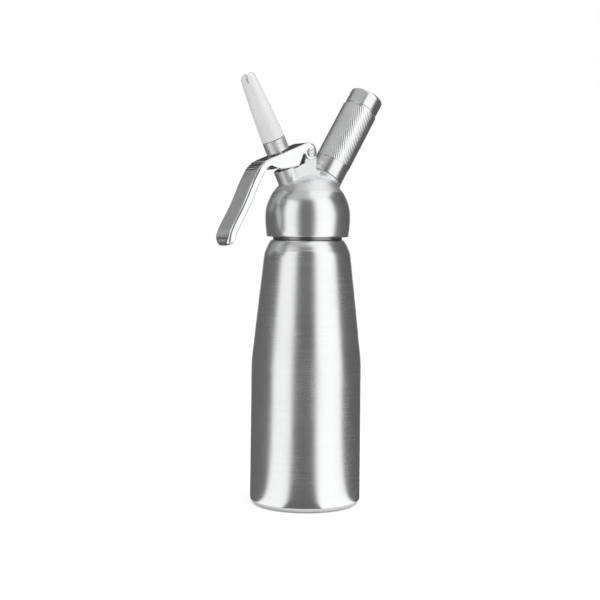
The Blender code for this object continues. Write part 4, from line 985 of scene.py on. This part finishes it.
# Turn a piece made along local Z onto the pivot's own axis, which lies along Y
def ontoPivot(item, sign):
    turnMatrix = Matrix.Rotation(sign * math.pi / 2, 4, "X")
    item.data.transform(Matrix.Translation(Vector(pivotPlace * mm)) @ turnMatrix)
    item.data.update()


screwPiece = carved("pivot_bolt", screwField, (-4.2, -4.2, -13.2), (4.2, 4.2, 13.6), pivotParts["cell"])
ontoPivot(screwPiece, 1)
dress(screwPiece, platedSteel, "head", "pivot_screw")
nutFoot, nutTop, nutBore = pivotParts["face"], pivotParts["nutTop"], pivotParts["nutBore"]
nutCeiling = nutFoot + pivotParts["nutDepth"]
nutLine = softened([(0, nutTop), (0, nutCeiling), (nutBore, nutCeiling), (nutBore, nutFoot),
                    (pivotParts["headRadius"], nutFoot), (pivotParts["headRadius"], pivotParts["nutEdge"]),
                    (pivotParts["nutCrown"], nutTop)], (0, 0, 0.1, 0.1, 0.25, 0.7, 1.2))
nutPiece = turnedPiece("domed_nut", nutLine, 72, np.zeros(3), upright, None, 40)
ontoPivot(nutPiece, -1)
dress(nutPiece, platedSteel, "head", "pivot_nut")
print("pivot made")


# Charger holder: a smooth threaded band, a knurled grip, a groove and a smooth end ring
holder = {
    "radius": 13.6, "band": 13.3, "ring": 12.9, "low": 0.3, "bandTop": 12.8, "grooveLow": 60.3,
    "grooveHigh": 61.7, "grooveDepth": 1.4, "top": 74.2, "endRound": 1.6, "mouth": 10.3,
    "mouthTop": 9.5, "bore": 9.6, "boreTop": 66.9, "knurls": 52, "knurlDepth": 0.15, "lean": 0.4,
    "secondSet": 0.3,       # how deep the second set of grooves is beside the first
    "ventHalf": 1.3, "ventLow": 8.4, "ventTurn": -147.0, "waistDepth": 0.8, "sleeve": 0.9,
    "thread": {"ridge": 0.8, "pitch": 2.0, "foot": 2.8, "turns": 2.5},
    "finish": {"dark": (0.78, 0.785, 0.79), "light": (0.92, 0.925, 0.93), "roughness": 0.22,
               "spread": 0.05, "bump": 0.1, "anisotropic": 0.4},
    "gripFinish": {"dark": (0.84, 0.845, 0.85), "light": (0.94, 0.945, 0.95), "roughness": 0.22,
                   "spread": 0.05, "bump": 0.1},
}


# The whole holder turned about its axis, with a plain waist where the knurled sleeve sits
def makeHolder(values):
    waist = values["radius"] - values["waistDepth"]
    ground = values["radius"] - values["grooveDepth"]
    angles = np.linspace(0, math.pi / 2, 9)
    dome = [(values["bore"] * math.cos(a), values["boreTop"] - values["bore"] * (1 - math.sin(a)))
            for a in angles]
    corners = [(values["mouth"], values["low"]), (values["band"], values["low"]),
               (values["band"], values["bandTop"]), (waist, values["bandTop"]),
               (waist, values["grooveLow"]), (ground, values["grooveLow"]),
               (ground, values["grooveHigh"]), (values["ring"], values["grooveHigh"]),
               (values["ring"], values["top"]), (0.0, values["top"]), (0.0, dome[-1][1])]
    radii = [0.3, 0.35, 0.15, 0, 0, 0, 0.15, 0.3, values["endRound"], 0, 0]
    inner = dome[::-1][1:] + [(values["bore"], values["mouthTop"]), (values["mouth"], values["mouthTop"])]
    line = softened(corners + inner, radii + [0] * len(inner))
    dense = []
    for start, end in zip(line, np.roll(line, -1, 0)):
        threaded = abs(start[0] - values["mouth"]) < 0.01 and abs(end[0] - values["mouth"]) < 0.01
        count = max(1, int(np.linalg.norm(end - start) / 0.2)) if threaded else 1
        dense.extend(start + (end - start) * step / count for step in range(count))
    thread = values["thread"]
    ridges = threadSwell(values["mouth"], thread["ridge"], thread["pitch"], thread["foot"],
                         thread["turns"], -1)
    return turnedPiece("holder_body", np.array(dense), 192, holderPlace, holderAxis, ridges, 40)


# The knurled sleeve: radius less the deeper of two crossed sets of fine grooves, closed inside
def makeGrip(values):
    rows = np.arange(values["bandTop"] + 0.02, values["grooveLow"] - 0.02, 0.27)
    low, high = rows[0], rows[-1]
    inner = values["radius"] - values["sleeve"]
    outer = np.stack((np.full(len(rows), values["radius"]), rows), 1)
    outline = np.vstack(([(inner, low), (values["radius"] - 0.3, low)], outer,
                         [(values["radius"] - 0.3, high), (inner, high)]))

    def swell(turn, height, base):
        lean = (height - low) * values["knurls"] * values["lean"] / values["radius"]
        one = np.abs(((turn * values["knurls"] + lean) / (2 * math.pi)) % 1 - 0.5) * 2
        other = np.abs(((turn * values["knurls"] - lean) / (2 * math.pi)) % 1 - 0.5) * 2
        fade = np.clip(np.minimum(height - low, high - height) * 1.5, 0, 1)
        first, second = (np.clip((ridge - 0.4) / 0.6, 0, 1) for ridge in (one, other))
        groove = np.maximum(first, second * values["secondSet"])
        return -values["knurlDepth"] * groove * fade * (base > values["radius"] - 0.01)

    return turnedPiece("holder_grip", outline, values["knurls"] * 8, holderPlace, holderAxis, swell, 60)


# Sink a slot with round ends through the band, from a cutter of the slot's own outline
def cutVent(item, values):
    half = values["ventHalf"]
    low, high = values["ventLow"] + half, values["bandTop"] - half + 0.9
    angles = np.linspace(0, math.pi, 13)
    outline = np.array([(half * math.cos(a), high + half * math.sin(a)) for a in angles]
                       + [(-half * math.cos(a), low - half * math.sin(a)) for a in angles])
    turn = math.radians(values["ventTurn"])
    across = np.array((-math.sin(turn), math.cos(turn), 0))
    outward = np.array((math.cos(turn), math.sin(turn), 0))
    rings = []
    for reach in (12.4, 16.0):
        rings.append(outward * reach + outline[:, 0:1] * across + outline[:, 1:2] * np.array((0, 0, 1.0)))
    points = placed(np.vstack(rings), holderPlace, holderAxis) * mm
    count = len(outline)
    index = np.arange(count)
    sides = np.stack((index, np.roll(index, -1), np.roll(index, -1) + count, index + count), 1).tolist()
    mesh = bpy.data.meshes.new("vent_cutter")
    mesh.from_pydata(points.tolist(), [], sides + [index.tolist()[::-1], (index + count).tolist()])
    cutter = bpy.data.objects.new("vent_cutter", mesh)
    scene.collection.objects.link(cutter)
    tidyMesh(cutter)
    step = item.modifiers.new("vent", "BOOLEAN")
    step.operation = "DIFFERENCE"
    step.solver = "EXACT"
    step.object = cutter
    graph = bpy.context.evaluated_depsgraph_get()
    item.data = bpy.data.meshes.new_from_object(item.evaluated_get(graph))
    item.modifiers.clear()
    bpy.data.objects.remove(cutter)
    item.data.shade_smooth()
    item.data.set_sharp_from_angle(angle=math.radians(40))


holderPiece = makeHolder(holder)
cutVent(holderPiece, holder)
holderMetal = brushedMetal("turnedAluminium", holder["finish"], holderPlace, holderAxis)
dress(holderPiece, holderMetal, "holder", "charger_holder")
gripPiece = makeGrip(holder)
gripMetal = plainMetal("knurledAluminium", holder["gripFinish"])
dress(gripPiece, gripMetal, "holder", "charger_holder")
print("holder made:", len(holderPiece.data.polygons), "and", len(gripPiece.data.polygons), "faces")


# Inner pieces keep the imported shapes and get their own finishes
blackRubber = mouldedMaterial("blackRubber", {"dark": (0.045, 0.045, 0.045), "light": (0.07, 0.07, 0.07),
                                              "roughness": 0.55, "bump": 0.2})
redRubber = mouldedMaterial("redSilicone", {"dark": (0.45, 0.1, 0.07), "light": (0.52, 0.13, 0.09),
                                            "roughness": 0.55, "bump": 0.2})
chargerSteel = plainMetal("chargerSteel", {"dark": (0.7, 0.7, 0.71), "light": (0.84, 0.84, 0.85),
                                           "roughness": 0.3, "spread": 0.05, "bump": 0.1})
innerFinishes = {
    "stem_bush": platedSteel, "valve_nut": platedSteel, "piercing_nipple": platedSteel,
    "nipple_nut": platedSteel, "piercing_pin": platedSteel, "gas_charger": chargerSteel,
    "stem_seal_ring": blackRubber, "check_valve": blackRubber, "charger_seal": redRubber,
    "valve_seal": paleRubber, "tip_washer": paleRubber,
}
for nodeName, finish in innerFinishes.items():
    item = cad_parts[nodeName]
    item.data.materials.clear()
    item.data.materials.append(finish)
print("inner pieces finished:", len(innerFinishes))


# Studio: a pale floor, a white surround, grey screens that only reflections see, and soft lamps
studio = {
    "floorColour": (0.86, 0.86, 0.86),
    "floorGlow": 0.5,       # what the camera sees of the floor beyond the light that falls on it
    "fill": 0.6,            # how strongly the surround lights matte surfaces
    "screenRadius": 0.8,
    "footRadius": 0.045,    # how near the bottle's axis the feet of the screens reach
    # Each screen: from and to in degrees round the bottle, 0 towards the camera, + to its right; brightness
    # and the heights in metres between which it stands; one that starts at 0 also lies along the floor
    "screens": (("front", -27, 20, 0.12, 0, 1.0), ("rightLight", 20, 78, 1.1, 0, 1.0),
                ("leftLight", -72, -27, 1.0, 0, 0.85), ("leftLightTop", -72, -27, 0.45, 0.85, 1.0),
                ("rightRear", 78, 158, 0.11, 0, 1.0),
                ("leftRear", -108, -72, 0.13, 0, 0.55), ("leftRearTop", -108, -72, 0.5, 0.55, 1.0),
                ("handleFoot", -131, -108, 0.13, 0, 0.3),
                ("bendFoot", -158, -131, 0.13, 0, 0.42), ("handleLow", -118, -108, 0.27, 0.3, 1.0),
                ("handleMiddle", -123, -118, 0.36, 0.3, 1.0), ("handleHigh", -131, -123, 0.29, 0.3, 1.0),
                ("bendDarkOne", -136, -131, 0.03, 0.42, 1.0), ("bendLightOne", -138, -136, 0.6, 0.42, 1.0),
                ("bendDarkTwo", -146, -138, 0.03, 0.42, 1.0), ("bendLightTwo", -148, -146, 0.5, 0.42, 1.0),
                ("bendDarkThree", -157, -148, 0.05, 0.42, 1.0), ("plateGrey", -165, -157, 0.3, 0.36, 1.0),
                ("plateDark", 158, 195, 0.06, 0.36, 1.0)),
    "ceiling": (-180, 8, 0.48),
    "lamps": (("keyLamp", 62, 0.9, 0.75, 3.0, 0.6), ("fillLamp", -55, 0.8, 0.55, 1.0, 0.6),
              ("topLamp", 10, 0.25, 1.15, 1.2, 0.5)),
}
cameraTurn = math.radians(camera["azimuth"])
towardCamera = np.array((math.sin(cameraTurn), -math.cos(cameraTurn), 0.0))
towardRight = np.array((math.cos(cameraTurn), math.sin(cameraTurn), 0.0))


def floorMaterial(colour):
    material, tree, shader = newMaterial("paleFloor", colour, 0.0, 0.85)
    source = tree.nodes.new("ShaderNodeTexCoord").outputs["Object"]
    cloud = noise(tree, source, grain["floor"], 3)
    tree.links.new(colourBetween(tree, cloud, tuple(c - 0.01 for c in colour), colour),
                   shader.inputs["Base Color"])
    rays = tree.nodes.new("ShaderNodeLightPath")
    shader.inputs["Emission Color"].default_value = (1, 1, 1, 1)
    tree.links.new(ranged(tree, rays.outputs["Is Camera Ray"], 0, 1, 0, studio["floorGlow"]),
                   shader.inputs["Emission Strength"])
    return material


def makeFloor():
    points = np.array(((-3000, -3000, 0), (3000, -3000, 0), (3000, 3000, 0), (-3000, 3000, 0)), float)
    floor = makePiece("studio_floor", points, np.array(((0, 1, 2, 3),)))
    floor.data.materials.append(floorMaterial(studio["floorColour"]))


# A strip of a cylinder round the bottle, with a foot along the floor, seen by reflections alone
def makeScreen(name, start, end, brightness, low, high):
    turns = np.radians(np.linspace(start, end, 25))
    heights = np.array((0.0008, max(low, 0.0008), high))
    radius = studio["screenRadius"]
    reaches = np.array((studio["footRadius"] if low == 0 else radius, radius, radius))
    ring = np.cos(turns)[:, None] * towardCamera + np.sin(turns)[:, None] * towardRight
    points = ring[:, None, :] * reaches[None, :, None] + heights[None, :, None] * upright
    if low > 0:
        points = points[:, 1:]
    index = np.arange(points.shape[0] * points.shape[1]).reshape(points.shape[:2])
    faces = np.stack((index[:-1, :-1], index[1:, :-1], index[1:, 1:], index[:-1, 1:]), -1).reshape(-1, 4)
    finishScreen(makePiece(name, points.reshape(-1, 3) / mm, faces), brightness)


# Give a screen its own light and hide it from everything but reflections
def finishScreen(item, brightness):
    material = bpy.data.materials.new(item.name)
    material.use_nodes = True
    tree = material.node_tree
    tree.nodes.clear()
    glow = tree.nodes.new("ShaderNodeEmission")
    glow.inputs["Color"].default_value = (1, 1, 1, 1)
    glow.inputs["Strength"].default_value = brightness
    target = tree.nodes.new("ShaderNodeOutputMaterial")
    tree.links.new(glow.outputs["Emission"], target.inputs["Surface"])
    item.data.materials.append(material)
    item.visible_camera = False
    item.visible_diffuse = False
    item.visible_shadow = False
    item.visible_transmission = False
    item.visible_volume_scatter = False


# A soft square lamp aimed at the head, out from the bottle at a turn from the camera
def makeLamp(name, turn, out, up, power, size):
    data = bpy.data.lights.new(name, "AREA")
    data.energy = power
    data.size = size
    item = bpy.data.objects.new(name, data)
    scene.collection.objects.link(item)
    angle = math.radians(turn)
    ahead = math.cos(angle) * towardCamera + math.sin(angle) * towardRight
    place = Vector(ahead * out + upright * up)
    aim = Vector((0, 0, 0.18)) - place
    item.matrix_world = Matrix.Translation(place) @ aim.to_track_quat("-Z", "Y").to_matrix().to_4x4()
    item.visible_glossy = False
    item.visible_camera = False


# White where the camera, gloss or glass sees it, and a softer fill for matte surfaces
def makeSurround():
    world = bpy.data.worlds.new("surround")
    scene.world = world
    world.use_nodes = True
    tree = world.node_tree
    tree.nodes.clear()
    rays = tree.nodes.new("ShaderNodeLightPath")
    shown = combined(tree, "MAXIMUM", rays.outputs["Is Glossy Ray"], rays.outputs["Is Transmission Ray"])
    seen = combined(tree, "MAXIMUM", rays.outputs["Is Camera Ray"], shown)
    strength = ranged(tree, seen, 0, 1, studio["fill"], 1.0)
    glow = tree.nodes.new("ShaderNodeBackground")
    glow.inputs["Color"].default_value = (1, 1, 1, 1)
    tree.links.new(strength, glow.inputs["Strength"])
    target = tree.nodes.new("ShaderNodeOutputWorld")
    tree.links.new(glow.outputs["Background"], target.inputs["Surface"])


# Part of a disc over the screens, dim to reflections: a fan from near its middle to their tops
def makeCeiling(start, end, brightness):
    turns = np.radians(np.linspace(start, end, 49))
    rims = np.cos(turns)[:, None] * towardCamera + np.sin(turns)[:, None] * towardRight
    points = np.vstack((rims * 0.01, rims * studio["screenRadius"])) + upright
    index = np.arange(48)
    faces = np.stack((index, index + 1, index + 50, index + 49), 1)
    finishScreen(makePiece("ceiling", points / mm, faces), brightness)


makeFloor()
makeCeiling(*studio["ceiling"])
for screen in studio["screens"]:
    makeScreen(*screen)
for lamp in studio["lamps"]:
    makeLamp(*lamp)
makeSurround()
scene.view_settings.view_transform = "Standard"
print("studio set")
